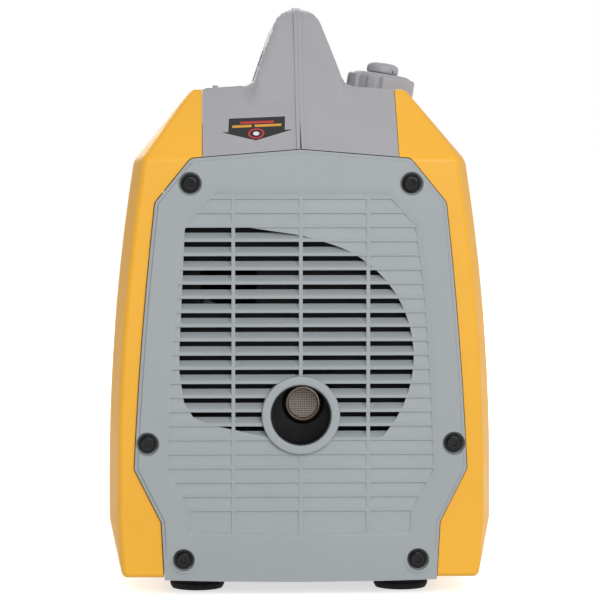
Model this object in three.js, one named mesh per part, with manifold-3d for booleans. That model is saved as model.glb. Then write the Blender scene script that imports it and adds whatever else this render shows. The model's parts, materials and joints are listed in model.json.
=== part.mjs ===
// Suitcase-type inverter generator: a petrol engine and alternator inside a plastic housing with a handle.
// Millimetres, +Z up. The origin is on the ground under the middle of the housing. -Y is the exhaust end,
// +Y the control end, and +X is to the right when the exhaust end is looked at.
import * as THREE from "three";
import { ConvexGeometry } from "three/addons/geometries/ConvexGeometry.js";
import { mergeVertices } from "three/addons/utils/BufferGeometryUtils.js";
import Module from "manifold-3d";

const wasm = await Module();
wasm.setup();

// ---- Driving dimensions ----
const width = 300; // over the side covers at their fullest
const length = 510; // over the two end panels
const deckHeight = 396; // top of the housing beside the handle
const handleRise = 66; // from the deck to the top of the handle
const wall = 3; // housing moulding thickness
const gap = 0.4; // clearance between neighbouring mouldings
const footHeight = 11;
const footRadius = 21.5;

const halfWidth = width / 2;
const halfLength = length / 2;
const handleTop = deckHeight + handleRise;
const far = 2000; // longer than anything that is cut

// ---- Housing envelope ----
const ringProud = 1; // the exhaust ring stands proud of its panel
const faceY = halfLength - ringProud; // panel face
const endY = faceY - 4; // end face of the side covers
const noseBevelRun = 25; // length over which the covers narrow towards their end faces
const noseBevelDrop = 8; // and by how much
const deckHalf = halfWidth - 65;
const deckY = halfLength - 70; // where the sloped ends meet the deck
const slopeFoot = deckHeight - 54; // where the end faces turn into the sloped ends
const shoulder = deckHeight - 56;
const sideTaper = 20; // the sides lean in by this much up to the shoulder
const fullest = 90;
const hem = 66; // below this the sides tuck in
const tuck = 9.5;
const coverBase = footHeight + 3.5;

// Half width of the side covers at height z.
function sideAt(z) {
  if (z < hem) return halfWidth - (tuck * (hem - z)) / (hem - coverBase);
  if (z < fullest) return halfWidth;
  return halfWidth - sideTaper * ((z - fullest) / (shoulder - fullest)) ** 2;
}

// ---- Geometry helpers ----
function solidOf(geometry) {
  const bare = geometry.index ? geometry.toNonIndexed() : geometry.clone();
  for (const name of Object.keys(bare.attributes)) if (name !== "position") bare.deleteAttribute(name);
  const merged = mergeVertices(bare, 1e-3);
  return new wasm.Manifold(
    new wasm.Mesh({
      numProp: 3,
      vertProperties: merged.attributes.position.array,
      triVerts: new Uint32Array(merged.index.array),
    }),
  );
}

function geometryOf(solid) {
  const mesh = solid.getMesh();
  const geometry = new THREE.BufferGeometry();
  geometry.setAttribute("position", new THREE.BufferAttribute(mesh.vertProperties, mesh.numProp));
  geometry.setIndex(new THREE.BufferAttribute(mesh.triVerts, 1));
  const flat = geometry.toNonIndexed();
  flat.computeVertexNormals();
  return flat;
}

function box(x0, x1, y0, y1, z0, z1) {
  const geometry = new THREE.BoxGeometry(x1 - x0, y1 - y0, z1 - z0);
  return solidOf(geometry.translate((x0 + x1) / 2, (y0 + y1) / 2, (z0 + z1) / 2));
}

const AXES = {
  x: new THREE.Matrix4().makeBasis(
    new THREE.Vector3(0, 1, 0),
    new THREE.Vector3(0, 0, 1),
    new THREE.Vector3(1, 0, 0),
  ),
  y: new THREE.Matrix4().makeRotationX(Math.PI / 2),
  z: new THREE.Matrix4(),
};

// A shape drawn in (y, z), (x, z) or (x, y) and extruded along the axis that is left.
function prism(axis, outline, from, to, holes = []) {
  const shape = outline instanceof THREE.Shape ? outline : new THREE.Shape(outline);
  shape.holes.push(...holes);
  const geometry = new THREE.ExtrudeGeometry(shape, {
    depth: to - from,
    bevelEnabled: false,
    curveSegments: 10,
  });
  geometry.translate(0, 0, axis === "y" ? -to : from);
  return solidOf(geometry.applyMatrix4(AXES[axis]));
}

// A round bar along an axis. centre gives its two other coordinates, in X, Y, Z order.
function rod(axis, radius, from, to, centre = [0, 0], sides = 24, endRadius = radius) {
  const geometry = new THREE.CylinderGeometry(endRadius, radius, to - from, sides);
  geometry.translate(0, (from + to) / 2, 0);
  if (axis === "x") geometry.rotateZ(-Math.PI / 2).translate(0, centre[0], centre[1]);
  if (axis === "y") geometry.translate(centre[0], 0, centre[1]);
  if (axis === "z") geometry.rotateX(Math.PI / 2).translate(centre[0], centre[1], 0);
  return solidOf(geometry);
}

// A turned body about +Z from a closed profile of [radius, height] points that runs up the outside.
function turned(profile, sides = 32) {
  const points = [...profile, profile[0]].map(([r, h]) => new THREE.Vector2(r, h));
  return solidOf(new THREE.LatheGeometry(points, sides).rotateX(Math.PI / 2));
}

const vec = (x, y) => new THREE.Vector2(x, y);
const hull = (points) => solidOf(new ConvexGeometry(points));
const union = (...solids) => solids.reduce((all, next) => all.add(next));
const cut = (solid, ...tools) => tools.reduce((left, tool) => left.subtract(tool), solid);

// The right-hand half of an outline, from the top centre down, made whole by its mirror image.
function mirrored(half) {
  return [...half, ...half.filter((p) => p.x > 0).reverse().map((p) => vec(-p.x, p.y))];
}

// Moves every edge of a closed outline inwards by a distance, or outwards where it is negative.
function inset(outline, distance) {
  const sense = THREE.ShapeUtils.isClockWise(outline) ? -1 : 1;
  const edge = (i) => {
    const a = outline[(i + outline.length) % outline.length];
    const b = outline[(i + 1 + outline.length) % outline.length];
    const along = b.clone().sub(a).normalize();
    const inward = vec(-along.y, along.x).multiplyScalar(sense * distance);
    return { start: a.clone().add(inward), along };
  };
  return outline.map((_, i) => {
    const before = edge(i - 1);
    const after = edge(i);
    const cross = before.along.cross(after.along);
    if (Math.abs(cross) < 1e-6) return after.start;
    const reach = after.start.clone().sub(before.start).cross(after.along) / cross;
    return before.start.clone().addScaledVector(before.along, reach);
  });
}

function roundedRectangle(a0, a1, b0, b1, radius) {
  const shape = new THREE.Shape();
  shape.absarc(a1 - radius, b1 - radius, radius, 0, Math.PI / 2);
  shape.absarc(a0 + radius, b1 - radius, radius, Math.PI / 2, Math.PI);
  shape.absarc(a0 + radius, b0 + radius, radius, Math.PI, 1.5 * Math.PI);
  shape.absarc(a1 - radius, b0 + radius, radius, 1.5 * Math.PI, 2 * Math.PI);
  return new THREE.Shape(shape.getPoints(3).slice(0, -1));
}

// ---- Materials ----
function material(color, roughness, metalness) {
  return new THREE.MeshStandardMaterial({ color, roughness, metalness });
}
const yellowPlastic = material("#f7b52c", 0.45, 0);
const greyPlastic = material("#a3a8aa", 0.5, 0);
const darkPlastic = material("#2b2d2f", 0.55, 0);
const blackRubber = material("#111111", 0.85, 0);
const blackSteel = material("#1b1b1c", 0.4, 0.6);
const bareSteel = material("#8f8a84", 0.35, 1);
const castAluminium = material("#b3b6b8", 0.5, 1);
const tankPlastic = material("#3a3c3f", 0.5, 0);
const brass = material("#c79a4b", 0.3, 1);
const copper = material("#b0633a", 0.4, 1);
const ceramic = material("#eeeae2", 0.3, 0);
const ropeNylon = material("#1d1d20", 0.9, 0);

const generator = new THREE.Group();
function part(name, solid, finish, holder = generator) {
  const mesh = new THREE.Mesh(geometryOf(solid), finish);
  mesh.name = name;
  holder.add(mesh);
  return mesh;
}

// ---- Housing envelope as solids ----
// Both halves of the housing as one convex block, its walls moved in by a distance.
function envelope(distance) {
  const points = [];
  const heights = [slopeFoot - 2, 310, 283, 250, 215, 175, 130, fullest, hem];
  const section = (y, drop) => {
    for (const z of heights) points.push([sideAt(z) - drop, y, z]);
    points.push([sideAt(coverBase) - drop, y, coverBase + distance]);
  };
  section(endY - distance, noseBevelDrop + distance);
  section(endY - noseBevelRun, distance);
  points.push([sideAt(shoulder) - noseBevelDrop - distance, endY - distance, slopeFoot - distance / 2]);
  points.push([deckHalf - distance / 2, deckY - distance / 2, deckHeight - distance]);
  return hull(
    points.flatMap(([x, y, z]) => [
      new THREE.Vector3(x, y, z),
      new THREE.Vector3(-x, y, z),
      new THREE.Vector3(x, -y, z),
      new THREE.Vector3(-x, -y, z),
    ]),
  );
}
const housingShell = cut(envelope(0), envelope(wall));

// ---- End panels ----
const panelApex = deckHeight - 47.5;
const panelBase = footHeight + 1;
const panelHip = 100; // where the panel is widest
const panelArm = deckHeight - 92; // where its sloped upper corners end
const panelBow = 1.7; // its long sides bulge by this much
const longSide = [0, 0.25, 0.5, 0.75, 1].map((t) =>
  vec(halfWidth - 36 + 16 * t + 4 * panelBow * t * (1 - t), panelArm + (panelHip - panelArm) * t),
);
const panelOutline = mirrored([
  vec(0, panelApex),
  vec(deckHalf - 1.5, slopeFoot),
  vec(halfWidth - 37.5, panelArm + 5.5),
  ...longSide,
  vec(halfWidth - 40.3, panelHip - 40),
  vec(halfWidth - 41.6, panelHip - 45),
  vec(halfWidth - 43.4, panelBase),
]);
const panelPlate = 3.5;
const panelSkirt = 14;
const fascia = faceY - panelPlate; // inside of the plate

// A shallow tray that closes one end of the housing. It is modelled at the exhaust end.
function endTray() {
  const outline = inset(panelOutline, gap);
  const block = prism("y", outline, -faceY, -faceY + panelSkirt);
  return cut(block, prism("y", inset(outline, wall), -fascia, -faceY + panelSkirt + 1));
}

const screwSeat = 8.2;
const screwHead = 6;
const screwShank = 2.3;
const seatDepth = 7;
const screwPlaces = [
  [deckHalf + 1, deckHeight - 74],
  [halfWidth - 30.5, panelHip + 19.5],
  [halfWidth - 58.5, 28.5],
].flatMap(([x, z]) => [
  [-x, z],
  [x, z],
]);

function withScrewSeats(tray) {
  const inside = prism("y", inset(panelOutline, gap), -faceY, -faceY + seatDepth + wall);
  for (const place of screwPlaces) {
    const cup = rod("y", screwSeat + 2, -faceY + 1, -faceY + seatDepth + wall, place).intersect(inside);
    tray = tray.add(cup);
    tray = cut(
      tray,
      rod("y", screwSeat, -halfLength, -faceY + seatDepth, place),
      rod("y", screwShank + gap, -halfLength, -faceY + seatDepth + far / 100, place, 12),
    );
  }
  return tray;
}

// The louvred window: the round fan opening with a square upper left corner and a flat foot.
const louvrePitch = 11;
const louvreFirst = 122.5;
const louvreDepth = 13;
const barThickness = 2.2;
const rib = 2.8;
const ribSpacing = 52.5;
const ventFoot = 124;
const ventHead = deckHeight - 109;
const ventLeft = -94.5;
const ventRadius = Math.min((ventHead - ventFoot) * 0.56, halfWidth - 59);
const ventCentre = vec(-4, ventFoot + ventRadius * 0.68);

function ventOutline() {
  const shape = new THREE.Shape();
  const startAngle = Math.asin((ventFoot - ventCentre.y) / ventRadius);
  shape.moveTo(-25, ventFoot);
  shape.absarc(ventCentre.x, ventCentre.y, ventRadius, startAngle, 1.32, false);
  shape.lineTo(-40, ventHead);
  shape.lineTo(ventLeft + 4.5, ventHead);
  shape.lineTo(ventLeft, ventCentre.y + 6);
  shape.lineTo(ventLeft, ventCentre.y - 12);
  shape.quadraticCurveTo(ventLeft + 3, ventFoot + 16, -70, ventFoot + 10);
  return shape;
}

const exhaustHeight = 141.8;
const exhaustHole = 23.6;
const exhaustRing = 30.5;

function rearPanel() {
  const vent = ventOutline();
  let tray = cut(endTray(), prism("y", vent, -halfLength, -fascia + 1));
  const windowSpace = prism("y", inset(vent.getPoints(6), -0.5), -faceY, -faceY + louvreDepth);
  const front = -faceY;
  const half = barThickness / 2;
  for (let z = louvreFirst; z < ventHead + louvrePitch; z += louvrePitch) {
    // A thin bar at the face that turns into a blade rising inwards.
    const blade = [
      vec(front, z - half),
      vec(front + 2.5, z - half),
      vec(front + louvreDepth, z + 3.8),
      vec(front + louvreDepth, z + 5.6),
      vec(front + 1.5, z + half),
      vec(front, z + half),
    ];
    tray = tray.add(prism("x", blade, -halfWidth, halfWidth).intersect(windowSpace));
  }
  for (const x of [-ribSpacing, 0, ribSpacing]) {
    const bar = box(x - rib / 2, x + rib / 2, front, front + louvreDepth, ventFoot - 5, ventHead + 5);
    tray = tray.add(bar.intersect(windowSpace));
  }
  const centre = [0, exhaustHeight];
  tray = tray.add(rod("y", exhaustRing, -halfLength, front + louvreDepth, centre, 36));
  tray = cut(tray, rod("y", exhaustHole, -halfLength - 1, front + louvreDepth + 1, centre, 36));
  return withScrewSeats(tray);
}
part("rear_panel", rearPanel(), greyPlastic);

function screw() {
  const head = rod("y", screwHead, 0, 4.5, [0, 0], 16);
  const socket = rod("y", 2.9, -1, 2.6, [0, 0], 6);
  return cut(union(head, rod("y", screwShank, 4, 14, [0, 0], 10)), socket);
}
screwPlaces.forEach(([x, z], i) => {
  const mesh = part("rear_screw_" + (i + 1), screw(), blackSteel);
  mesh.position.set(x, -faceY + seatDepth - 4.5 - gap, z);
});

// ---- Control end ----
const consoleHalf = 90;
const consoleTop = deckHeight - 82;
const consoleBase = consoleTop - 184;
const consoleDepth = 20; // the control plate lies this far behind the panel face
const plateY = faceY - consoleDepth;
const plateThickness = 3;
const consoleCorner = 8;

function frontPanel() {
  const turn = new THREE.Matrix4().makeRotationZ(Math.PI);
  let tray = endTray().transform(turn.elements);
  const opening = (grow) =>
    roundedRectangle(
      -consoleHalf - grow,
      consoleHalf + grow,
      consoleBase - grow,
      consoleTop + grow,
      consoleCorner + grow,
    );
  tray = tray.add(prism("y", opening(4), plateY, halfLength));
  tray = cut(tray, prism("y", opening(0), plateY - 1, halfLength));
  for (let z = 38; z < consoleBase - 30; z += louvrePitch) {
    tray = cut(tray, box(-75, 75, fascia - 1, halfLength, z, z + 5));
  }
  return tray;
}
part("front_panel", frontPanel(), greyPlastic);

// A Schuko-size socket: a square flange, a round barrel behind the plate, and a sprung lid hinged at its top.
const socketHalf = 26;
const socketBore = 20;
const socketBarrel = 22.5;
const socketDepth = 16;
const socketFlange = 4;
const socketHeight = consoleBase + 42;
const socketPlaces = { ac_socket_left: [-56, socketHeight], ac_socket_right: [4, socketHeight] };
const lidThickness = 6;
const hingeRadius = 3;

function socketBody([x, z]) {
  const flange = prism(
    "y",
    roundedRectangle(x - socketHalf, x + socketHalf, z - socketHalf, z + socketHalf, 4),
    plateY + gap,
    plateY + gap + socketFlange,
  );
  const barrel = rod("y", socketBarrel, plateY - socketDepth, plateY + 1, [x, z], 28);
  const recess = rod("y", socketBore, plateY - socketDepth + 3, plateY + 10, [x, z], 28);
  const pinHoles = [-9.5, 9.5].map((dx) =>
    rod("y", 2.4, plateY - socketDepth - 1, plateY, [x + dx, z], 10),
  );
  return cut(union(flange, barrel), recess, ...pinHoles);
}

const lidFoot = plateY + gap + socketFlange + gap;
function socketLid([x, z]) {
  const plate = prism(
    "y",
    roundedRectangle(x - socketHalf + 1, x + socketHalf - 1, z - socketHalf + 1, z + socketHalf - 2, 4),
    lidFoot,
    lidFoot + lidThickness,
  );
  const knuckle = rod("x", hingeRadius, x - 14, x + 14, [lidFoot + hingeRadius, z + socketHalf], 12);
  const lip = box(x - 8, x + 8, lidFoot + lidThickness - 1, lidFoot + lidThickness + 3, z - 24, z - 20);
  const bridge = box(x - 14, x + 14, lidFoot, lidFoot + 2 * hingeRadius, z + socketHalf - 4, z + socketHalf);
  return union(plate, knuckle, bridge, lip);
}

const dcPlace = [62, socketHeight];
const dcBore = 8;
const dialPlace = [58, consoleTop - 52];
const dialRadius = 21;
const breakerPlace = [62, socketHeight + 40];
const ecoPlace = [8, consoleTop - 48];
const groundPlace = [62, socketHeight - 29];

function controlPlate() {
  const margin = 6;
  let plate = prism(
    "y",
    roundedRectangle(
      -consoleHalf - margin,
      consoleHalf + margin,
      consoleBase - margin,
      consoleTop + margin,
      consoleCorner,
    ),
    plateY - gap - plateThickness,
    plateY - gap,
  );
  const through = (radius, place, sides) => rod("y", radius + gap, plateY - 9, plateY + 1, place, sides);
  plate = cut(plate, ...Object.values(socketPlaces).map((place) => through(socketBarrel, place, 28)));
  plate = cut(plate, through(dcBore + 3, dcPlace, 24), through(6, dialPlace, 16));
  plate = cut(plate, through(6, breakerPlace, 20), through(3, groundPlace, 12));
  const [x, z] = ecoPlace;
  return cut(plate, box(x - 11.4, x + 11.4, plateY - 9, plateY + 1, z - 7.4, z + 7.4));
}
part("control_plate", controlPlate(), darkPlastic);
for (const [name, place] of Object.entries(socketPlaces)) {
  part(name, socketBody(place), darkPlastic);
  part(name.replace("socket", "lid"), socketLid(place), darkPlastic);
}

const dcSocket = cut(
  union(
    rod("y", 15, plateY + gap, plateY + gap + 4, dcPlace, 24),
    rod("y", dcBore + 3, plateY - 24, plateY + 1, dcPlace, 24),
  ),
  rod("y", dcBore, plateY - 21, plateY + 9, dcPlace, 24),
);
part("dc_socket", dcSocket, darkPlastic);

const dialDepth = 13;
function engineDial() {
  const [x, z] = dialPlace;
  return union(
    rod("y", dialRadius, plateY + gap, plateY + gap + 5, dialPlace, 32),
    box(x - 4, x + 4, plateY + 4, plateY + dialDepth, z - 19, z + 19),
    rod("y", 6, plateY - 14, plateY + 1, dialPlace, 16),
  );
}
part("engine_dial", engineDial(), darkPlastic);

const rockerHalf = 7;
const rocker = prism(
  "x",
  [
    vec(plateY - 8, ecoPlace[1] - rockerHalf + 1.6),
    vec(plateY + 1.5, ecoPlace[1] - rockerHalf + 0.6),
    vec(plateY + 4.5, ecoPlace[1] - rockerHalf + 1.4),
    vec(plateY + 2.5, ecoPlace[1]),
    vec(plateY + 4.5, ecoPlace[1] + rockerHalf - 1.4),
    vec(plateY + 1.5, ecoPlace[1] + rockerHalf - 0.6),
    vec(plateY - 8, ecoPlace[1] + rockerHalf - 1.6),
  ],
  ecoPlace[0] - 11,
  ecoPlace[0] + 11,
);
part("eco_switch", rocker, blackSteel);
part("breaker_button", rod("y", 6, plateY - 12, plateY + 6, breakerPlace, 20), darkPlastic);

function groundTerminal() {
  const [x, z] = groundPlace;
  return union(
    rod("y", 3, plateY - 14, plateY + 15, groundPlace, 12),
    rod("y", 6, plateY + gap, plateY + 4, groundPlace, 6),
    box(x - 11, x + 11, plateY + 6, plateY + 9, z - 2.5, z + 2.5),
    rod("y", 5, plateY + 4.5, plateY + 11, groundPlace, 12),
    rod("y", 4, plateY + 3.5, plateY + 5, groundPlace, 12),
  );
}
part("ground_terminal", groundTerminal(), brass);

// ---- Base ----
const trayHalf = halfWidth - 43.4 - gap;
const trayWallHeight = 22;
function bottomTray() {
  const y = endY - panelSkirt;
  const floor = box(-trayHalf, trayHalf, -y, y, panelBase, panelBase + wall);
  const hollow = box(
    -trayHalf + wall,
    trayHalf - wall,
    -y + wall,
    y - wall,
    panelBase + wall,
    panelBase + far / 10,
  );
  const walls = cut(box(-trayHalf, trayHalf, -y, y, panelBase, panelBase + trayWallHeight), hollow);
  return union(floor, walls);
}
part("bottom_tray", bottomTray(), darkPlastic);

const footX = 81;
const footY = halfLength - 55;
const footNames = { rear_left: [-1, -1], rear_right: [1, -1], front_left: [-1, 1], front_right: [1, 1] };
for (const [corner, [sx, sy]] of Object.entries(footNames)) {
  const pad = rod("z", footRadius - 2, 0, 3, [0, 0], 28, footRadius);
  const stem = rod("z", footRadius, 3, footHeight + 1 - gap, [0, 0], 28);
  part("foot_" + corner, union(pad, stem), blackRubber).position.set(sx * footX, sy * footY, 0);
}

// ---- Top cover and handle ----
const gripRoot = 36.3; // half width of the handle where it meets the deck
const gripRadius = 20.5;
const flankAngle = THREE.MathUtils.degToRad(20);

// End view of the handle: a round top, straight flanks that spread downwards, and a small flare on the deck.
function bellOutline(distance) {
  const top = handleTop - gripRadius;
  const r = gripRadius - distance;
  const shape = new THREE.Shape();
  const reachX = gripRoot + 10;
  shape.moveTo(-reachX, deckHeight - 60);
  shape.lineTo(reachX - distance, deckHeight - 60);
  shape.lineTo(reachX - distance, deckHeight + 0.5 - distance);
  shape.quadraticCurveTo(gripRoot - distance, deckHeight + 1, gripRoot - 1.5 - distance, deckHeight + 9);
  shape.absarc(0, top, r, flankAngle, Math.PI - flankAngle, false);
  shape.lineTo(-gripRoot + 1.5 + distance, deckHeight + 9);
  shape.quadraticCurveTo(-gripRoot + distance, deckHeight + 1, -reachX + distance, deckHeight + 0.5 - distance);
  shape.lineTo(-reachX + distance, deckHeight - 60);
  return new THREE.Shape(shape.getPoints(6).slice(1));
}

const handHoleHalf = 102;
const handHoleTop = handleTop - 31;
const crownRun = 110; // from the end of the housing to where the handle's top begins

// Side view of the handle: it climbs out of the sloped end, runs level, and comes down to the other end.
function sideOutline(distance) {
  const end = endY - distance;
  const top = handleTop - distance;
  const crown = halfLength - crownRun;
  const foot = panelApex - distance;
  const climb = [
    vec(end, foot),
    vec(deckY + 22 - distance, deckHeight - 20),
    vec(deckY + 4 - distance, deckHeight + 4),
    vec(deckY - 14 - distance, deckHeight + 28),
    vec(crown + 12 - distance, top - 14),
    vec(crown + 2 - distance, top - 4),
    vec(crown - 14, top),
  ];
  const back = climb.map((p) => vec(-p.x, p.y)).reverse();
  return [vec(end, deckHeight - 60), ...climb, ...back, vec(-end, deckHeight - 60)];
}

function handleSolid(distance) {
  const body = prism("y", bellOutline(distance), -halfLength, halfLength).intersect(
    prism("x", sideOutline(distance), -halfWidth, halfWidth),
  );
  const hole = roundedRectangle(
    -handHoleHalf - distance,
    handHoleHalf + distance,
    deckHeight - 100,
    handHoleTop + distance,
    14,
  );
  return cut(body, prism("x", hole, -halfWidth, halfWidth));
}

// The deck between the side covers, a little higher along its middle than at its edges.
const crease = 5;
function deckSolid(distance) {
  const edge = deckHalf - 8.5 + (distance ? 5 : 0);
  const points = [
    [0, endY - distance, panelApex - distance / 2],
    [0, deckY + 6 - distance / 2, deckHeight + crease - distance],
    [edge, endY - distance, slopeFoot + 0.6 - distance / 2],
    [edge, deckY - distance / 2, deckHeight - distance],
    [0, endY - distance, slopeFoot - 30],
    [edge, endY - distance, slopeFoot - 30],
  ];
  return hull(
    points.flatMap(([x, y, z]) => [
      new THREE.Vector3(x, y, z),
      new THREE.Vector3(-x, y, z),
      new THREE.Vector3(x, -y, z),
      new THREE.Vector3(-x, -y, z),
    ]),
  );
}

// ---- Filler, in a frame whose +Z is the tilted axis of the cap ----
const fillerTilt = THREE.MathUtils.degToRad(9);
const filler = new THREE.Group();
filler.position.set(deckHalf - 14, -halfLength + 195, deckHeight - 3);
filler.rotation.y = fillerTilt;
filler.updateMatrix();
generator.add(filler);
const capRadius = 28.2;
const collarRadius = capRadius + 3.8;
const inFillerFrame = (solid) => solid.transform(filler.matrix.elements);

const lidHole = { x0: -73, x1: -45, y0: -160, y1: -100 }; // spark plug access in the deck

function topCover() {
  const outer = deckSolid(0).add(handleSolid(0));
  let inner = deckSolid(wall).add(handleSolid(wall));
  inner = inner.add(box(-deckHalf, deckHalf, -halfLength, halfLength, slopeFoot - 40, slopeFoot - 28));
  let cover = cut(outer, inner);
  cover = cut(cover, prism("y", inset(panelOutline, -gap), -halfLength - 1, halfLength + 1));
  cover = cover.intersect(
    box(-deckHalf + 8.5 + gap / 2, deckHalf - 8.5 - gap / 2, -endY, endY, slopeFoot - 1, far / 2),
  );
  cover = cut(cover, inFillerFrame(rod("z", collarRadius + gap, -30, 60, [0, 0], 32)));
  return cut(cover, box(lidHole.x0, lidHole.x1, lidHole.y0, lidHole.y1, deckHeight - 20, deckHeight + 20));
}
const wholeTop = topCover();
const seam = 0.15;
const leftOfSeam = box(-halfWidth, -seam, -halfLength, halfLength, 0, far);
const rightOfSeam = box(seam, halfWidth, -halfLength, halfLength, 0, far);
part("top_cover_left", wholeTop.intersect(leftOfSeam), greyPlastic);
part("top_cover_right", wholeTop.intersect(rightOfSeam), greyPlastic);

function sparkPlugLid() {
  const { x0, x1, y0, y1 } = lidHole;
  const top = deckHeight + 2;
  const edge = 4;
  const skirt = cut(
    box(x0 + 1, x1 - 1, y0 + 1, y1 - 1, deckHeight - 5, top + 2),
    box(x0 + 3, x1 - 3, y0 + 3, y1 - 3, deckHeight - 6, top),
  );
  const plate = box(x0 - edge + 3, x1 + edge - 3, y0 - edge, y1 + edge, top + 1, top + 3);
  const lip = box(x0 + 1, x0 + 8, y0 - edge, y0 + 4, top + 2, top + 6);
  return union(skirt, plate, lip);
}
part("spark_plug_lid", sparkPlugLid(), greyPlastic);

const neckRadius = 19;
const neckBore = 15.5;
const neckTop = 8;
const capHeight = 18;
part(
  "filler_collar",
  turned([
    [neckRadius + 1, -8.5],
    [collarRadius - 2.4, -8.5],
    [collarRadius - 2.4, -18],
    [collarRadius, -18],
    [collarRadius, -1.5],
    [collarRadius - 2.4, -1.5],
    [collarRadius - 2.4, -6],
    [neckRadius + 1, -6],
  ]),
  greyPlastic,
  filler,
);

function fuelCap() {
  const outline = new THREE.Shape();
  const lobes = 8;
  for (let i = 0; i < lobes; i++) {
    const start = (i * 2 * Math.PI) / lobes;
    const lobe = [0, 0.18, 0.36, 0.5].map((t) => [t, capRadius]);
    const dip = [0.62, 0.88].map((t) => [t, capRadius - 2.2]);
    for (const [t, r] of [...lobe, ...dip]) {
      const angle = start + (t * 2 * Math.PI) / lobes;
      if (i === 0 && t === 0) outline.moveTo(r * Math.cos(angle), r * Math.sin(angle));
      else outline.lineTo(r * Math.cos(angle), r * Math.sin(angle));
    }
  }
  const skirt = prism("z", outline, -3, capHeight - 3);
  const crown = rod("z", capRadius - 2.5, capHeight - 3.5, capHeight, [0, 0], 32, capRadius - 5);
  return cut(union(skirt, crown), rod("z", neckRadius + 1, -4, neckTop + 3, [0, 0], 32));
}
part("fuel_cap", fuelCap(), greyPlastic, filler);

part(
  "fuel_cap_insert",
  turned([
    [9, -6],
    [neckBore - 0.8, -6],
    [neckBore - 0.8, neckTop + gap],
    [neckRadius - 0.5, neckTop + gap],
    [neckRadius - 0.5, neckTop + 2.4],
    [9, neckTop + 2.4],
  ]),
  blackRubber,
  filler,
);

const knobRadius = 13;
const ventKnob = union(
  rod("z", knobRadius, capHeight + gap, capHeight + 6, [0, 0], 24),
  rod("z", knobRadius, capHeight + 6, capHeight + 9, [0, 0], 24, knobRadius - 3),
);
part("vent_knob", ventKnob, greyPlastic, filler);

// ---- Side covers ----
const gripCentre = { y: 130, z: 182 }; // where the starter rope leaves the right side
const cupHalfY = 60;
const cupHalfZ = 34;
const cupFloor = halfWidth - 36;
const serviceDoor = { y0: -150, y1: 60, z0: 76, z1: 262 };
const sideFrom = deckHalf - 8.5 + gap / 2;

function sideCover(side) {
  const near = side > 0 ? box(sideFrom, far, -far, far, 0, far) : box(-far, -sideFrom, -far, far, 0, far);
  let cover = housingShell.intersect(near);
  cover = cut(cover, prism("y", panelOutline, -far, far));
  // Cooling-air slots beside the fan.
  const slots = 7;
  for (let i = 0; i < slots; i++) {
    const z = 84 + i * 9;
    const x = side * halfWidth;
    cover = cut(cover, box(x - 20, x + 20, 88, 190, z, z + 4));
  }
  return cover;
}

function starterWindow(shrink) {
  const { y, z } = gripCentre;
  return roundedRectangle(
    y - cupHalfY + shrink,
    y + cupHalfY - shrink,
    z - cupHalfZ + shrink,
    z + cupHalfZ - shrink,
    14 - shrink,
  );
}

const doorSpace = (shrink) =>
  prism(
    "x",
    roundedRectangle(
      serviceDoor.y0 + shrink,
      serviceDoor.y1 - shrink,
      serviceDoor.z0 + shrink,
      serviceDoor.z1 - shrink,
      12,
    ),
    -far / 2,
    -deckHalf,
  );
// The right side's slots stop below the starter's cup, the left side's beside the service door.
const fillerBore = inFillerFrame(rod("z", collarRadius + gap, -60, 60, [0, 0], 32));
const rightCover = cut(sideCover(1), prism("x", starterWindow(0), deckHalf, far), fillerBore);
const leftCover = cut(sideCover(-1), doorSpace(0));
part("right_side_cover", rightCover, yellowPlastic);
part("left_side_cover", leftCover, yellowPlastic);

function starterCup() {
  const rim = prism("x", starterWindow(gap), cupFloor, halfWidth);
  const space = prism("x", starterWindow(gap + 2.5), cupFloor + 2.5, far);
  const roof = envelope(0.4);
  const { y, z } = gripCentre;
  return cut(rim.intersect(roof), space, rod("x", 5, cupFloor - 1, cupFloor + 5, [y, z], 16));
}
part("starter_cup", starterCup(), darkPlastic);

const gripHalf = 45;
const gripThickness = 21;
const gripBack = cupFloor + 10;
function starterGrip() {
  const { y, z } = gripCentre;
  const outline = [
    vec(y - gripHalf, z - 9),
    vec(y - gripHalf + 8, z - 13),
    vec(y + gripHalf - 8, z - 13),
    vec(y + gripHalf, z - 9),
    vec(y + gripHalf, z + 9),
    vec(y + gripHalf - 8, z + 13),
    vec(y - gripHalf + 8, z + 13),
    vec(y - gripHalf, z + 9),
  ];
  const bar = prism("x", outline, gripBack, gripBack + gripThickness);
  const nose = rod("x", 7, gripBack - 6, gripBack + 1, [y, z], 16, 10);
  return cut(union(bar, nose), rod("x", 2.6, gripBack - 7, gripBack + 12, [y, z], 12));
}
part("starter_grip", starterGrip(), darkPlastic);

const ropeRadius = 2;
part(
  "starter_rope",
  rod("x", ropeRadius, 2, gripBack + 11, [gripCentre.y, gripCentre.z], 10),
  ropeNylon,
);

// The door is cut from the same shell and tilts out about its lower edge.
const doorLockPlace = { y: (serviceDoor.y0 + serviceDoor.y1) / 2, z: serviceDoor.z1 - 18 };
function doorPanel() {
  const panel = housingShell.intersect(doorSpace(0.6));
  return cut(panel, rod("x", 4.6, -far / 4, -deckHalf, [doorLockPlace.y, doorLockPlace.z], 16));
}
part("service_door", doorPanel(), yellowPlastic);
function doorLock() {
  const { y, z } = doorLockPlace;
  const face = -sideAt(z);
  const head = rod("x", 9, face - 4.5, face - gap - 0.6, [y, z], 20);
  const shank = rod("x", 4, face - 2, face + 12, [y, z], 14);
  return cut(union(head, shank), box(face - 6, face - 3, y - 7, y + 7, z - 1, z + 1));
}
part("service_door_lock", doorLock(), darkPlastic);

// ---- Fuel tank ----
const tankHalfX = 96;
const tankY0 = filler.position.y - 90;
const tankY1 = 120;
const tankFloor = deckHeight - 110;
const tankSeam = deckHeight - 70;
const tankTop = deckHeight - 28;
const tankWall = 2.5;

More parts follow.
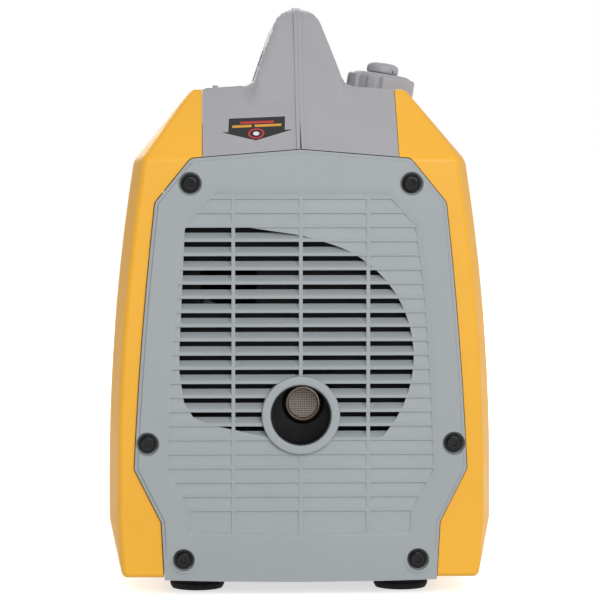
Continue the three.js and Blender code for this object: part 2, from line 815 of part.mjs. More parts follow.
function tankOutline(shrink) {
  const clip = 18;
  const x = tankHalfX - shrink;
  const y0 = tankY0 + shrink;
  const y1 = tankY1 - shrink;
  return [
    vec(-x + clip, y0),
    vec(x - clip, y0),
    vec(x, y0 + clip),
    vec(x, y1 - clip),
    vec(x - clip, y1),
    vec(-x + clip, y1),
    vec(-x, y1 - clip),
    vec(-x, y0 + clip),
  ];
}

const tankLower = cut(
  union(
    prism("z", tankOutline(0), tankFloor, tankSeam - gap),
    prism("z", tankOutline(-4), tankSeam - 2.5, tankSeam - gap),
  ),
  prism("z", tankOutline(tankWall), tankFloor + tankWall, tankSeam + 1),
);
part("fuel_tank_lower", tankLower, tankPlastic);

const neck = inFillerFrame(rod("z", neckRadius, -30, neckTop, [0, 0], 28));
const tankUpper = cut(
  union(
    prism("z", tankOutline(0), tankSeam, tankTop),
    prism("z", tankOutline(-4), tankSeam, tankSeam + 2.1),
    neck,
  ),
  prism("z", tankOutline(tankWall), tankSeam - 1, tankTop - tankWall),
  inFillerFrame(rod("z", neckBore, -60, neckTop + 1, [0, 0], 28)),
);
part("fuel_tank_upper", tankUpper, tankPlastic);

// ---- Engine: the crankshaft lies along Y ----
const crankHeight = 150;
const crankRadius = 10;
const crankY0 = -165;
const caseY0 = -158;
const caseY1 = -48;
const cylinderTilt = THREE.MathUtils.degToRad(-56);
const cylinderFrame = new THREE.Group();
cylinderFrame.position.set(-26, (caseY0 + caseY1) / 2, 156);
cylinderFrame.rotation.y = cylinderTilt;
cylinderFrame.updateMatrix();
generator.add(cylinderFrame);
const barrelFoot = 12;
const crankcaseOutline = mirrored([
  vec(0, 205),
  vec(38, 205),
  vec(62, 185),
  vec(62, 85),
  vec(48, 62),
  vec(0, 62),
]);

function crankcase() {
  const block = prism("y", crankcaseOutline, caseY0, caseY1);
  const clearCylinder = box(-200, 200, -200, 200, barrelFoot - gap, 300).transform(
    cylinderFrame.matrix.elements,
  );
  const sump = box(-72, 72, caseY0 + 8, caseY1 - 8, 52, 64);
  return cut(
    union(block, sump),
    clearCylinder,
    rod("y", crankRadius + gap, caseY0 - 1, caseY1 + 1, [0, crankHeight], 24),
    rod("x", 5.6, -70, -28, [caseY0 + 34, 96], 14),
  );
}
part("crankcase", crankcase(), castAluminium);

const barrelTop = 62;
const headTop = 80;
function finnedBarrel() {
  let barrel = rod("z", 29, barrelFoot, barrelTop, [0, 0], 24);
  const fins = 6;
  for (let i = 0; i < fins; i++) {
    const h = barrelFoot + 5 + (i * (barrelTop - barrelFoot - 5)) / fins;
    barrel = barrel.add(box(-37, 37, -40, 40, h, h + 2.2));
  }
  return barrel.add(box(-33, 33, -36, 36, barrelTop - 1, headTop));
}
part("cylinder", finnedBarrel(), castAluminium, cylinderFrame);
part(
  "valve_cover",
  prism("z", roundedRectangle(-26, 26, -29, 29, 8), headTop + gap, headTop + 15),
  darkPlastic,
  cylinderFrame,
);

// The spark plug stands in the side of the head, towards the exhaust end, with its boot over it.
const plugAxis = [0, (barrelTop + headTop) / 2];
part(
  "spark_plug",
  union(
    rod("y", 6, -44, -36 - gap, plugAxis, 6),
    rod("y", 4, -60, -43, plugAxis, 12),
  ),
  ceramic,
  cylinderFrame,
);
part(
  "spark_plug_boot",
  cut(rod("y", 8, -72, -46, plugAxis, 16), rod("y", 4 + gap, -61, -45, plugAxis, 12)),
  blackRubber,
  cylinderFrame,
);

const dipstickPlace = [caseY0 + 34, 96];
part(
  "oil_dipstick",
  union(rod("x", 12, -76, -62 - gap, dipstickPlace, 12), rod("x", 5, -63, -30, dipstickPlace, 12)),
  darkPlastic,
);

for (const [name, x0, x1] of [
  ["engine_mount_left", -70, -44],
  ["engine_mount_right", 44, 70],
]) {
  const mount = box(x0, x1, caseY0 + 12, caseY1 - 12, panelBase + wall + gap, 52 - gap);
  part(name, mount, blackRubber);
}

// ---- Exhaust ----
const mufflerY0 = -halfLength + 23;
const outletPlace = [2, 150];
const outletRadius = 13.8;
const outletBore = 11.5;
const mufflerOutline = roundedRectangle(-68, 68, 96, 224, 26);
const mufflerSkin = 3;
const muffler = cut(
  prism("y", mufflerOutline, mufflerY0 + 8, caseY0 - 12),
  prism(
    "y",
    roundedRectangle(-68 + mufflerSkin, 68 - mufflerSkin, 96 + mufflerSkin, 224 - mufflerSkin, 26 - mufflerSkin),
    mufflerY0 + 8 + mufflerSkin,
    caseY0 - 12 - mufflerSkin,
  ),
  rod("y", outletBore, mufflerY0, mufflerY0 + 24, outletPlace, 24),
);
part("muffler", muffler, blackSteel);

const outlet = cut(
  rod("y", outletRadius, -faceY + louvreDepth + 2, mufflerY0 + 8 - gap, outletPlace, 28),
  rod("y", outletBore, -faceY, mufflerY0 + 8, outletPlace, 28),
);
part("exhaust_outlet", outlet, bareSteel);
part(
  "spark_arrester",
  turned([
    [0, 0],
    [outletBore - gap, 0],
    [outletBore - gap, 14],
    [outletBore - gap - 1, 14],
    [outletBore - gap - 1, 1],
    [0, 1],
  ], 24),
  bareSteel,
)
  .rotateX(-Math.PI / 2)
  .position.set(outletPlace[0], -faceY + louvreDepth + 5, outletPlace[1]);

// ---- Alternator, fan and recoil starter ----
const axisPlace = [0, crankHeight];
const statorY0 = caseY1 + 4;
const statorY1 = statorY0 + 38;
const rotorOuter = 70;
const rotorInner = 62;
const statorRadius = rotorInner - 2;
const stator = cut(
  union(
    rod("y", statorRadius, statorY0 + 4, statorY1, axisPlace, 36),
    rod("y", 30, caseY1 + gap, statorY0 + 5, axisPlace, 24),
  ),
  rod("y", crankRadius + 6, caseY1 - 2, statorY1 + 2, axisPlace, 24),
);
part("stator", stator, copper);

const rotorEnd = statorY1 + 2;
const rotorBack = rotorEnd + 6;
const rotor = cut(
  rod("y", rotorOuter, statorY0 + 6, rotorBack, axisPlace, 40),
  rod("y", rotorInner, statorY0, rotorEnd, axisPlace, 40),
  rod("y", crankRadius + gap, rotorEnd - 2, rotorBack + 1, axisPlace, 24),
);
part("rotor_flywheel", rotor, blackSteel);

const crankEnd = rotorBack + 58;
const crankshaft = union(
  rod("y", crankRadius, crankY0, crankEnd - 10, axisPlace, 24),
  rod("y", 22, crankEnd - 14, crankEnd, axisPlace, 24),
);
part("crankshaft", crankshaft, bareSteel);

const fanRadius = 78;
const fanY0 = rotorBack + gap;
const fanY1 = fanY0 + 30;
function coolingFan() {
  const blades = 9;
  let fan = rod("y", fanRadius - 4, fanY0, fanY0 + 3, axisPlace, 36);
  fan = fan.add(rod("y", 26, fanY0, fanY1, axisPlace, 24));
  for (let i = 0; i < blades; i++) {
    const blade = box(24, fanRadius, fanY0 + 1, fanY1, -1.6, 1.6);
    const turn = new THREE.Matrix4()
      .makeTranslation(0, 0, crankHeight)
      .multiply(new THREE.Matrix4().makeRotationY((i * 2 * Math.PI) / blades));
    fan = fan.add(blade.transform(turn.elements));
  }
  return cut(fan, rod("y", crankRadius + gap, fanY0 - 1, fanY1 + 1, axisPlace, 24));
}
part("cooling_fan", coolingFan(), darkPlastic);

const shroudRadius = fanRadius + 8;
const shroudY0 = statorY0;
const shroudY1 = fanY1 + 6;
const shroud = cut(
  rod("y", shroudRadius, shroudY0, shroudY1, axisPlace, 40),
  rod("y", shroudRadius - 3, shroudY0 - 1, shroudY1 - 3, axisPlace, 40),
  rod("y", 52, shroudY1 - 4, shroudY1 + 1, axisPlace, 32),
);
part("fan_shroud", shroud, darkPlastic);

const pulleyRadius = 38;
const grooveRadius = gripCentre.z - crankHeight - ropeRadius - 0.5;
const pulleyHalf = 7;
const recoilInner = pulleyRadius + 5;
const recoilY0 = crankEnd + 3;
const recoilY1 = gripCentre.y + pulleyHalf + 7;
function recoilHousing() {
  const { y, z } = gripCentre;
  const pot = cut(
    rod("y", recoilInner + 4, recoilY0, recoilY1, axisPlace, 32),
    rod("y", recoilInner, recoilY0 - 1, recoilY1 - 4, axisPlace, 32),
  );
  const post = rod("y", 8, y - pulleyHalf, recoilY1 - 3, axisPlace, 20);
  const legs = [45, 135, 225, 315].map((angle) => {
    const turn = new THREE.Matrix4()
      .makeTranslation(0, 0, crankHeight)
      .multiply(new THREE.Matrix4().makeRotationY(THREE.MathUtils.degToRad(angle)));
    return box(recoilInner + 1, 70, shroudY1 + gap, recoilY0 + 8, -6, 6).transform(turn.elements);
  });
  return cut(union(pot, post, ...legs), rod("x", 4, 20, 90, [y, z], 12));
}
part("recoil_housing", recoilHousing(), castAluminium);

const pulley = cut(
  union(
    rod("y", grooveRadius, gripCentre.y - pulleyHalf, gripCentre.y + pulleyHalf, axisPlace, 32),
    rod("y", pulleyRadius, gripCentre.y - pulleyHalf, gripCentre.y - 3, axisPlace, 32),
    rod("y", pulleyRadius, gripCentre.y + 3, gripCentre.y + pulleyHalf, axisPlace, 32),
  ),
  rod("y", 8 + gap, gripCentre.y - far / 50, gripCentre.y + far / 50, axisPlace, 24),
);
part("recoil_pulley", pulley, darkPlastic);

// ---- Fuel and air ----
const airCaseX1 = -80;
const airCaseY0 = -46;
part(
  "air_cleaner_case",
  prism("x", roundedRectangle(airCaseY0, 48, 184, 262, 10), -124, airCaseX1),
  darkPlastic,
);
const portFace = 36 + gap;
const carburettor = union(
  box(-14, 14, portFace, airCaseY0 - cylinderFrame.position.y - gap, barrelTop - 1, headTop + 1).transform(
    cylinderFrame.matrix.elements,
  ),
  rod("z", 8, 162, 196, [-85, -54.6], 16),
);
part("carburettor", carburettor, castAluminium);

// ---- Inverter ----
function inverterModule() {
  let module = box(-86, 86, 168, 214, panelBase + wall + gap, 100);
  const fins = 11;
  for (let i = 0; i < fins; i++) {
    const x = -84 + i * 16.5;
    module = module.add(box(x, x + 3, 150, 169, 24, 98));
  }
  return module;
}
part("inverter_module", inverterModule(), castAluminium);

export default generator;
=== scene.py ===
"""A suitcase-type inverter generator: moulded yellow side covers, a grey louvred end panel with the exhaust outlet,
a grey top with a carry handle and a fuel cap, and a control end with sockets. Sizes are in millimetres until a piece
is finished, when its mesh is scaled to metres."""

import json
import math

import bmesh
import bpy
from mathutils import Matrix, Vector


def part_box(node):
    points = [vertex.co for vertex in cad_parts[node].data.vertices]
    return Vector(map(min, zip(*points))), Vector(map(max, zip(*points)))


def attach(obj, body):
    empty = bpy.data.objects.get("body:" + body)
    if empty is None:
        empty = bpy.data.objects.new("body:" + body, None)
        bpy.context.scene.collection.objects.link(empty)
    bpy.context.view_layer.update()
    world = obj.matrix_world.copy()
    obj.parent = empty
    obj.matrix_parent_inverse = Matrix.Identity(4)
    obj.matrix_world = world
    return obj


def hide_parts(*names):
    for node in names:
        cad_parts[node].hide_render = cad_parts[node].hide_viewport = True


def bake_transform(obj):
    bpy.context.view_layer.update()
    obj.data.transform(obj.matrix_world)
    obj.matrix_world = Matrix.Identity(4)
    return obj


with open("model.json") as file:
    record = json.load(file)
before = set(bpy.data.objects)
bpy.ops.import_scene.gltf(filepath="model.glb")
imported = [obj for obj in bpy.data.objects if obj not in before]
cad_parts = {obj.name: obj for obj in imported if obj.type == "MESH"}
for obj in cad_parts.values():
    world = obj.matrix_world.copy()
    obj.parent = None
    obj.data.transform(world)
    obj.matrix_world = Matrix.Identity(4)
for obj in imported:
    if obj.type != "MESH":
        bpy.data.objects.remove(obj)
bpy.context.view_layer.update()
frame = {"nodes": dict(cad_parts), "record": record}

bl_info = {
    "name": "Suitcase generator",
    "version": (1, 0, 0),
    "blender": (4, 5, 0),
    "location": "3D View > Sidebar > Generator",
    "description": "Builds the finished pieces of a portable generator around its CAD frame",
    "category": "Object",
}

MM = 0.001
FAR = 300


# ---- Sizes that come from the frame, in millimetres ----
def node_box(name):
    low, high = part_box(name)
    return low / MM, high / MM


REAR_LOW = node_box("rear_panel")[0]
SIDE_LOW, SIDE_HIGH = node_box("right_side_cover")
TOP_HIGH = node_box("top_cover_right")[1]
HALF_WIDTH = SIDE_HIGH.x
HALF_LENGTH = -REAR_LOW.y
DECK = SIDE_HIGH.z
HANDLE_TOP = TOP_HIGH.z
END_Y = SIDE_HIGH.y
FACE_Y = HALF_LENGTH - 1
COVER_BASE = SIDE_LOW.z
PANEL_BASE = REAR_LOW.z
SEAM_X = (SIDE_LOW.x + TOP_HIGH.x) / 2
PLATE_Y = node_box("control_plate")[1].y + 0.4

WALL = 2.8
NOSE_RUN = 25
NOSE_DROP = 8
NOSE_DROP_AT_BASE = 1.5
SHOULDER = DECK - 56
SIDE_TAPER = 20
FULLEST = 90
HEM = 59
TUCK = 9.5
DECK_HALF = HALF_WIDTH - 65
DECK_Y = HALF_LENGTH - 70
SLOPE_FOOT = DECK - 54
PANEL_APEX = DECK - 47.3
CREASE = 5


def size_property(name, default, description, least=0.5):
    return bpy.props.FloatProperty(name=name, description=description, default=default, min=least)


class GeneratorSizes(bpy.types.PropertyGroup):
    """Sizes of the visible mouldings, in millimetres."""

    louvre_pitch: size_property("Louvre pitch", 11.06, "Height from one grille bar to the next", 4.0)
    bar_height: size_property("Bar height", 2.5, "Height of a grille bar's front face")
    rib_width: size_property("Rib width", 2.8, "Width of the upright grille ribs")
    dish_depth: size_property("Dish depth", 2.4, "How far the grille lies behind the panel's face")
    edge_radius: size_property("Edge radius", 3.5, "Rounding of the covers' main edges")
    rim_radius: size_property("Rim radius", 0.8, "Rounding where a cover ends at its neighbour", 0.1)
    ridge_width: size_property("Ridge width", 5.8, "Width of the raised line along the handle", 1.0)
    knob_radius: size_property("Vent knob radius", 13.2, "Radius of the knob on the fuel cap", 5.0)


def linear(hex_colour):
    """Turns an sRGB hex value into the linear red, green, blue and alpha that shaders take."""
    channels = [int(hex_colour[i : i + 2], 16) / 255 for i in (1, 3, 5)]
    straight = [c / 12.92 if c <= 0.04045 else ((c + 0.055) / 1.055) ** 2.4 for c in channels]
    return (*straight, 1.0)


def colour_property(name, hex_colour, description):
    return bpy.props.FloatVectorProperty(
        name=name, description=description, subtype="COLOR", size=4, min=0, max=1, default=linear(hex_colour)
    )


class GeneratorColours(bpy.types.PropertyGroup):
    """Colours of the generator's materials."""

    side_yellow: colour_property("Side yellow", "#F8B526", "Side covers")
    panel_grey: colour_property("Panel grey", "#A1A7AA", "End panels")
    top_grey: colour_property("Top grey", "#A5A5A9", "Top cover and handle")
    trim_black: colour_property("Trim black", "#26282A", "Knobs, sockets and inner mouldings")
    rubber_black: colour_property("Rubber black", "#151515", "Feet and seals")
    screw_black: colour_property("Screw black", "#0E0F10", "Screws and black coated steel")
    outlet_steel: colour_property("Outlet steel", "#C6BAB1", "Exhaust outlet and its mesh")


# ---- Solids, as bmeshes in millimetres ----
AXES = {
    "x": Matrix(((0, 0, 1), (1, 0, 0), (0, 1, 0))),
    "y": Matrix(((1, 0, 0), (0, 0, 1), (0, 1, 0))),
    "z": Matrix(((1, 0, 0), (0, 1, 0), (0, 0, 1))),
}


def prism(axis, outline, low, high):
    """A closed solid. The outline is drawn in the two other axes, in X, Y, Z order."""
    bm = bmesh.new()
    turn = AXES[axis]
    face = bm.faces.new([bm.verts.new(turn @ Vector((a, b, low))) for a, b in outline])
    far_end = bmesh.ops.extrude_face_region(bm, geom=[face])["geom"]
    verts = [v for v in far_end if isinstance(v, bmesh.types.BMVert)]
    bmesh.ops.translate(bm, verts=verts, vec=turn @ Vector((0, 0, high - low)))
    bmesh.ops.recalc_face_normals(bm, faces=bm.faces)
    return bm


def lofted(axis, sections):
    """A closed skin over outlines with the same number of points, each at its level along the axis."""
    bm = bmesh.new()
    turn = AXES[axis]
    loops = []
    for number, (outline, level) in enumerate(sections):
        face = bm.faces.new([bm.verts.new(turn @ Vector((a, b, level))) for a, b in outline])
        loops.append(list(face.edges))
        if 0 < number < len(sections) - 1:
            bmesh.ops.delete(bm, geom=[face], context="FACES_ONLY")
    for first, second in zip(loops, loops[1:]):
        bmesh.ops.bridge_loops(bm, edges=first + second)
    bmesh.ops.recalc_face_normals(bm, faces=bm.faces)
    return bm


def softened(axis, outline_at, soft_end, far_end, radius, steps=3):
    """A prism with a rounded edge round one end. outline_at gives its outline grown by a distance."""
    sense = 1 if far_end > soft_end else -1
    sections = []
    for k in range(steps + 1):
        angle = math.pi / 2 * k / steps
        level = soft_end + sense * radius * (1 - math.sin(angle))
        sections.append((outline_at(-radius * (1 - math.cos(angle))), level))
    return lofted(axis, [*reversed(sections), (outline_at(0), far_end)])


def block(x0, x1, y0, y1, z0, z1):
    bm = bmesh.new()
    middle = Vector(((x0 + x1) / 2, (y0 + y1) / 2, (z0 + z1) / 2))
    size = Matrix.Diagonal((x1 - x0, y1 - y0, z1 - z0, 1))
    bmesh.ops.create_cube(bm, size=1, matrix=Matrix.Translation(middle) @ size)
    return bm


def turned(profile, steps=64):
    """A body of revolution about Z from a closed profile of (radius, height) points."""
    bm = bmesh.new()
    verts = [bm.verts.new((max(r, 0), 0, h)) for r, h in profile]
    edges = [bm.edges.new((a, b)) for a, b in zip(verts, verts[1:] + verts[:1])]
    bmesh.ops.spin(
        bm, geom=verts + edges, cent=(0, 0, 0), axis=(0, 0, 1), angle=math.tau, steps=steps, use_merge=True
    )
    bmesh.ops.remove_doubles(bm, verts=bm.verts, dist=1e-4)
    loose = [e for e in bm.edges if not e.link_faces]
    bmesh.ops.delete(bm, geom=loose, context="EDGES")
    bmesh.ops.recalc_face_normals(bm, faces=bm.faces)
    return bm


def tube(inner, outer, low, high, steps=64):
    profile = [(inner, low), (outer, low), (outer, high), (inner, high)]
    return turned(profile, steps)


def rod(radius, low, high, steps=64):
    return tube(0, radius, low, high, steps)


def moved(bm, matrix):
    bmesh.ops.transform(bm, matrix=matrix, verts=bm.verts)
    if matrix.determinant() < 0:
        bmesh.ops.reverse_faces(bm, faces=bm.faces)
    return bm


def along(axis, place):
    """Puts a body that was made about Z on another axis, pointing along it, at a place."""
    turns = {
        "x": Matrix.Rotation(math.pi / 2, 4, "Y"),
        "-x": Matrix.Rotation(-math.pi / 2, 4, "Y"),
        "y": Matrix.Rotation(-math.pi / 2, 4, "X"),
        "-y": Matrix.Rotation(math.pi / 2, 4, "X"),
    }
    return Matrix.Translation(Vector(place)) @ turns[axis]


def joined(*bodies):
    """One bmesh that holds all the bodies, which are used up."""
    whole = bodies[0]
    for other in bodies[1:]:
        mesh = bpy.data.meshes.new("joining")
        other.to_mesh(mesh)
        other.free()
        whole.from_mesh(mesh)
        bpy.data.meshes.remove(mesh)
    return whole


def combined(bm, how, *tools):
    """A boolean of bm with each tool in turn. All of them are used up."""
    made = []
    for body in (bm, *tools):
        mesh = bpy.data.meshes.new("boolean")
        body.to_mesh(mesh)
        body.free()
        thing = bpy.data.objects.new("boolean", mesh)
        bpy.context.scene.collection.objects.link(thing)
        made.append(thing)
    for tool in made[1:]:
        step = made[0].modifiers.new("cut", "BOOLEAN")
        step.operation = how
        step.solver = "EXACT"
        step.object = tool
    bpy.context.view_layer.update()
    result = made[0].evaluated_get(bpy.context.evaluated_depsgraph_get())
    done = bmesh.new()
    done.from_mesh(result.to_mesh())
    result.to_mesh_clear()
    for thing in made:
        mesh = thing.data
        bpy.data.objects.remove(thing)
        bpy.data.meshes.remove(mesh)
    return tidy(done)


def cut(bm, *tools):
    return combined(bm, "DIFFERENCE", *tools)


def fused(bm, *tools):
    return combined(bm, "UNION", *tools)


def common(bm, *tools):
    return combined(bm, "INTERSECT", *tools)


def tidy(bm, flat=0.15):
    """Merges points that lie together and faces that lie in one plane."""
    bmesh.ops.remove_doubles(bm, verts=bm.verts, dist=1e-3)
    bmesh.ops.dissolve_degenerate(bm, edges=bm.edges, dist=1e-3)
    bmesh.ops.dissolve_limit(
        bm, angle_limit=math.radians(flat), verts=bm.verts, edges=bm.edges, use_dissolve_boundaries=False
    )
    return bm


def rounded_edges(bm, radius, sharper_than):
    """Rounds every edge whose faces turn by more than an angle in degrees."""
    limit = math.radians(sharper_than)
    edges = [e for e in bm.edges if len(e.link_faces) == 2 and e.calc_face_angle(0) > limit]
    bmesh.ops.bevel(
        bm,
        geom=edges,
        offset=radius,
        offset_type="OFFSET",
        segments=4,
        profile=0.5,
        affect="EDGES",
        clamp_overlap=True,
        material=-1,
    )
    return bm


# ---- Outlines, as lists of (a, b) points ----
def rounded_outline(corners, steps=5):
    """Corners are (a, b, radius). Each is replaced by an arc that touches both its sides."""
    points = []
    count = len(corners)
    for i, (a, b, radius) in enumerate(corners):
        here = Vector((a, b))
        before = (Vector(corners[i - 1][:2]) - here).normalized()
        after = (Vector(corners[(i + 1) % count][:2]) - here).normalized()
        if radius <= 0:
            points.append((a, b))
            continue
        half = before.angle(after) / 2
        centre = here + (before + after).normalized() * (radius / math.sin(half))
        start = here + before * (radius / math.tan(half)) - centre
        sweep = start.angle_signed(here + after * (radius / math.tan(half)) - centre)
        for k in range(steps + 1):
            turn = Matrix.Rotation(-sweep * k / steps, 2)
            points.append(tuple(centre + turn @ start))
    return points


def offset_outline(outline, distance):
    """Moves each side of a closed outline outwards by a distance, or inwards where it is negative."""
    count = len(outline)
    area = sum(
        outline[i][0] * outline[(i + 1) % count][1] - outline[(i + 1) % count][0] * outline[i][1]
        for i in range(count)
    )
    sense = 1 if area > 0 else -1
    moved_points = []
    for i in range(count):
        here = Vector(outline[i])
        before = (here - Vector(outline[i - 1])).normalized()
        after = (Vector(outline[(i + 1) % count]) - here).normalized()
        normal = Vector((before.y, -before.x)) + Vector((after.y, -after.x))
        normal.normalize()
        reach = distance * sense / max(normal.dot(Vector((before.y, -before.x))), 0.3)
        moved_points.append(tuple(here + normal * reach))
    return moved_points


def grown(corners, distance):
    """An outline from rounded corners that is moved outwards by a distance, or inwards where it is negative."""
    shifted = offset_outline([(a, b) for a, b, _ in corners], distance)
    radii = [max(radius + distance, 0.4) if radius else 0 for _, _, radius in corners]
    return rounded_outline([(a, b, radius) for (a, b), radius in zip(shifted, radii)])


def both_halves(half):
    """The right half of an outline from the top centre down, with its mirror image."""
    other = [(-a, *rest) for a, *rest in reversed(half) if abs(a) > 1e-6]
    return list(half) + other


def smooth_line(points, steps=6):
    """A curve through the points."""
    ends = [points[0], *points, points[-1]]
    line = []
    for spans in zip(ends, ends[1:], ends[2:], ends[3:]):
        powers = [(2 * q, r - p, 2 * p - 5 * q + 4 * r - s, 3 * q - p - 3 * r + s) for p, q, r, s in zip(*spans)]
        for k in range(steps):
            t = k / steps
            line.append(tuple(0.5 * (a + b * t + c * t**2 + d * t**3) for a, b, c, d in powers))
    return [*line, points[-1]]


def circle(a, b, radius, steps=48):
    return [
        (a + radius * math.cos(math.tau * k / steps), b + radius * math.sin(math.tau * k / steps))
        for k in range(steps)
    ]


# ---- Finished pieces ----
BODY_OF = {node: body for body, nodes in frame["record"]["behaviour"]["bodies"].items() for node in nodes}
RIM_ANGLE = math.radians(38)


def finish_piece(name, bm, finish, node=None, body="housing", smooth=32, rim=0.0):
    """Makes the object from a bmesh in millimetres, which is used up. A piece that stands for a frame node takes the
    node's body and hides the node. Any other piece is an extra on a body."""
    bmesh.ops.scale(bm, vec=(MM, MM, MM), verts=bm.verts)
    mesh = bpy.data.meshes.new(name)
    bm.to_mesh(mesh)
    bm.free()
    mesh.materials.append(FINISHES[finish])
    mesh.shade_smooth()
    mesh.set_sharp_from_angle(angle=math.radians(smooth))
    piece = bpy.data.objects.new(name, mesh)
    bpy.context.scene.collection.objects.link(piece)
    if rim:
        bevel = piece.modifiers.new("rim", "BEVEL")
        bevel.width = rim * MM
        bevel.segments = 2
        bevel.limit_method = "ANGLE"
        bevel.angle_limit = RIM_ANGLE
    weighted = piece.modifiers.new("even_shading", "WEIGHTED_NORMAL")
    weighted.keep_sharp = True
    if body:
        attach(piece, BODY_OF[node] if node else body)
    if node:
        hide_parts(node)
    return piece


# ---- Finishes ----
def add(tree, kind, inputs=None, **settings):
    """Adds a node with its settings. An input is a value, or the output of another node to link."""
    node = tree.nodes.new(kind)
    for name, value in settings.items():
        setattr(node, name, value)
    for name, value in (inputs or {}).items():
        if isinstance(value, bpy.types.NodeSocket):
            tree.links.new(value, node.inputs[name])
        else:
            node.inputs[name].default_value = value
    return node


def per_metre(millimetres):
    """The scale of a pattern whose features are this far apart."""
    return 1 / (millimetres * MM)


def surface_tree(name, **sockets):
    """A material with one shader, and its object coordinates."""
    material = bpy.data.materials.new(name)
    material.use_nodes = True
    tree = material.node_tree
    tree.nodes.clear()
    settings = {socket.replace("_", " "): value for socket, value in sockets.items()}
    shader = add(tree, "ShaderNodeBsdfPrincipled", settings)
    add(tree, "ShaderNodeOutputMaterial", {"Surface": shader.outputs["BSDF"]})
    place = add(tree, "ShaderNodeTexCoord").outputs["Object"]
    return material, tree, shader, place


def tinted(colour, factor):
    return (*(min(c * factor, 1) for c in colour[:3]), 1.0)


def noise(tree, place, spacing, detail, roughness=0.5):
    """A cloudy pattern whose features are this many millimetres apart."""
    inputs = {"Vector": place, "Scale": per_metre(spacing), "Detail": detail, "Roughness": roughness}
    return add(tree, "ShaderNodeTexNoise", inputs).outputs["Fac"]


def waves(tree, place, spacing, direction="X", distortion=0.0, detail=2.0):
    """Parallel ridges this many millimetres apart."""
    scale = per_metre(spacing) / math.tau
    inputs = {"Vector": place, "Scale": scale, "Distortion": distortion, "Detail": detail}
    return add(tree, "ShaderNodeTexWave", inputs, bands_direction=direction).outputs["Fac"]


def crossed(tree, first, second):
    """Two patterns of which the higher one shows."""
    node = add(tree, "ShaderNodeMath", operation="MAXIMUM")
    tree.links.new(first, node.inputs[0])
    tree.links.new(second, node.inputs[1])
    return node.outputs["Value"]


def shaded(tree, shader, pattern, low, high, start=0.0, end=1.0):
    """Takes the colour from low to high as the pattern rises from start to end."""
    ramp = add(tree, "ShaderNodeValToRGB", {"Fac": pattern})
    for stop, position, colour in zip(ramp.color_ramp.elements, (start, end), (low, high)):
        stop.position = position
        stop.color = colour
    tree.links.new(ramp.outputs["Color"], shader.inputs["Base Color"])


def glossed(tree, shader, pattern, low, high):
    """Takes the roughness from low to high over the middle of the pattern."""
    inputs = {"Value": pattern, "From Min": 0.3, "From Max": 0.7, "To Min": low, "To Max": high}
    gloss = add(tree, "ShaderNodeMapRange", inputs)
    tree.links.new(gloss.outputs["Result"], shader.inputs["Roughness"])


def embossed(tree, shader, pattern, strength, relief):
    """Raises the surface by the pattern. relief is its full height in millimetres."""
    bump = add(tree, "ShaderNodeBump", {"Height": pattern, "Strength": strength, "Distance": relief * MM})
    tree.links.new(bump.outputs["Normal"], shader.inputs["Normal"])


def moulded_plastic(name, colour, grain, relief, roughness, cloud=0.05, specular=0.5):
    """Injection moulded plastic: the spark-eroded mould leaves an even, fine grain that breaks up the gloss, and the
    pigment flows a little unevenly. grain is its spacing and relief its height, in millimetres."""
    material, tree, shader, place = surface_tree(name, IOR=1.49, Specular_IOR_Level=specular)
    flow = noise(tree, place, 90, 3.0, 0.55)
    shaded(tree, shader, flow, tinted(colour, 1 - cloud), tinted(colour, 1 + cloud), 0.3, 0.7)
    speck = noise(tree, place, grain, 2.0, 0.6)
    rub = noise(tree, place, 35, 5.0, 0.65)
    glossed(tree, shader, rub, roughness - 0.05, roughness + 0.07)
    embossed(tree, shader, speck, 0.35, relief)
    return material


def rough_metal(name, colour, metallic, roughness, grain, relief, stain=None, stain_spacing=30, specular=0.5):
    """Metal with a grain: cast, blasted, drawn or coated. A second colour shows where heat or oil has stained it."""
    material, tree, shader, place = surface_tree(name, Metallic=metallic, Specular_IOR_Level=specular)
    patch = noise(tree, place, stain_spacing, 6.0, 0.6)
    shaded(tree, shader, patch, stain or tinted(colour, 0.82), colour, 0.35, 0.62)
    glossed(tree, shader, patch, roughness + 0.12, roughness - 0.05)
    pits = add(tree, "ShaderNodeTexVoronoi", {"Vector": place, "Scale": per_metre(grain)})
    embossed(tree, shader, pits.outputs["Distance"], 0.4, relief)
    return material


def wound_wire(name, colour):
    """Enamelled copper wire wound side by side: fine parallel ridges with a warm varnish gloss."""
    material, tree, shader, place = surface_tree(
        name, Metallic=0.9, Coat_Weight=0.6, Coat_Roughness=0.15, Roughness=0.32
    )
    turns = waves(tree, place, 1.6, "Y", 0.4, 1.0)
    # The colour is darker in the grooves between the turns: painted shade.
    shaded(tree, shader, turns, tinted(colour, 0.35), colour)
    embossed(tree, shader, turns, 0.6, 0.4)
    return material


def woven_mesh(name, colour):
    """Fine woven steel wire that has been in exhaust gas: a regular brown weave. Its real 0.4 mm spacing is too
    fine to show, so it is drawn at 0.9 mm."""
    material, tree, shader, place = surface_tree(name, Metallic=0.35, Roughness=0.5)
    weave = crossed(tree, *(waves(tree, place, 0.9, direction) for direction in ("X", "Z")))
    # The colour is darker in the holes between the wires: painted shade.
    shaded(tree, shader, weave, tinted(colour, 0.45), colour, 0.45, 0.8)
    embossed(tree, shader, weave, 0.8, 0.5)
    return material


def braided_cord(name, colour):
    """Braided nylon rope: two sets of strands cross at a slant, and every strand has its own soft shine. The colour
    paints that shine as a lighter crest on each strand, and shade between the strands.
    """
    material, tree, shader, place = surface_tree(name, Roughness=0.7, Sheen_Weight=0.4, Sheen_Roughness=0.5)
    strands = []
    for slant in (40, -40):
        slanted = add(tree, "ShaderNodeMapping", {"Vector": place, "Rotation": (0, 0, math.radians(slant))})
        strands.append(waves(tree, slanted.outputs["Vector"], 1.4))
    braid = crossed(tree, *strands)
    # Painted shade between the strands and a painted sheen on their crests.
    shaded(tree, shader, braid, tinted(colour, 0.4), tinted(colour, 1.5))
    embossed(tree, shader, braid, 0.7, 0.5)
    return material


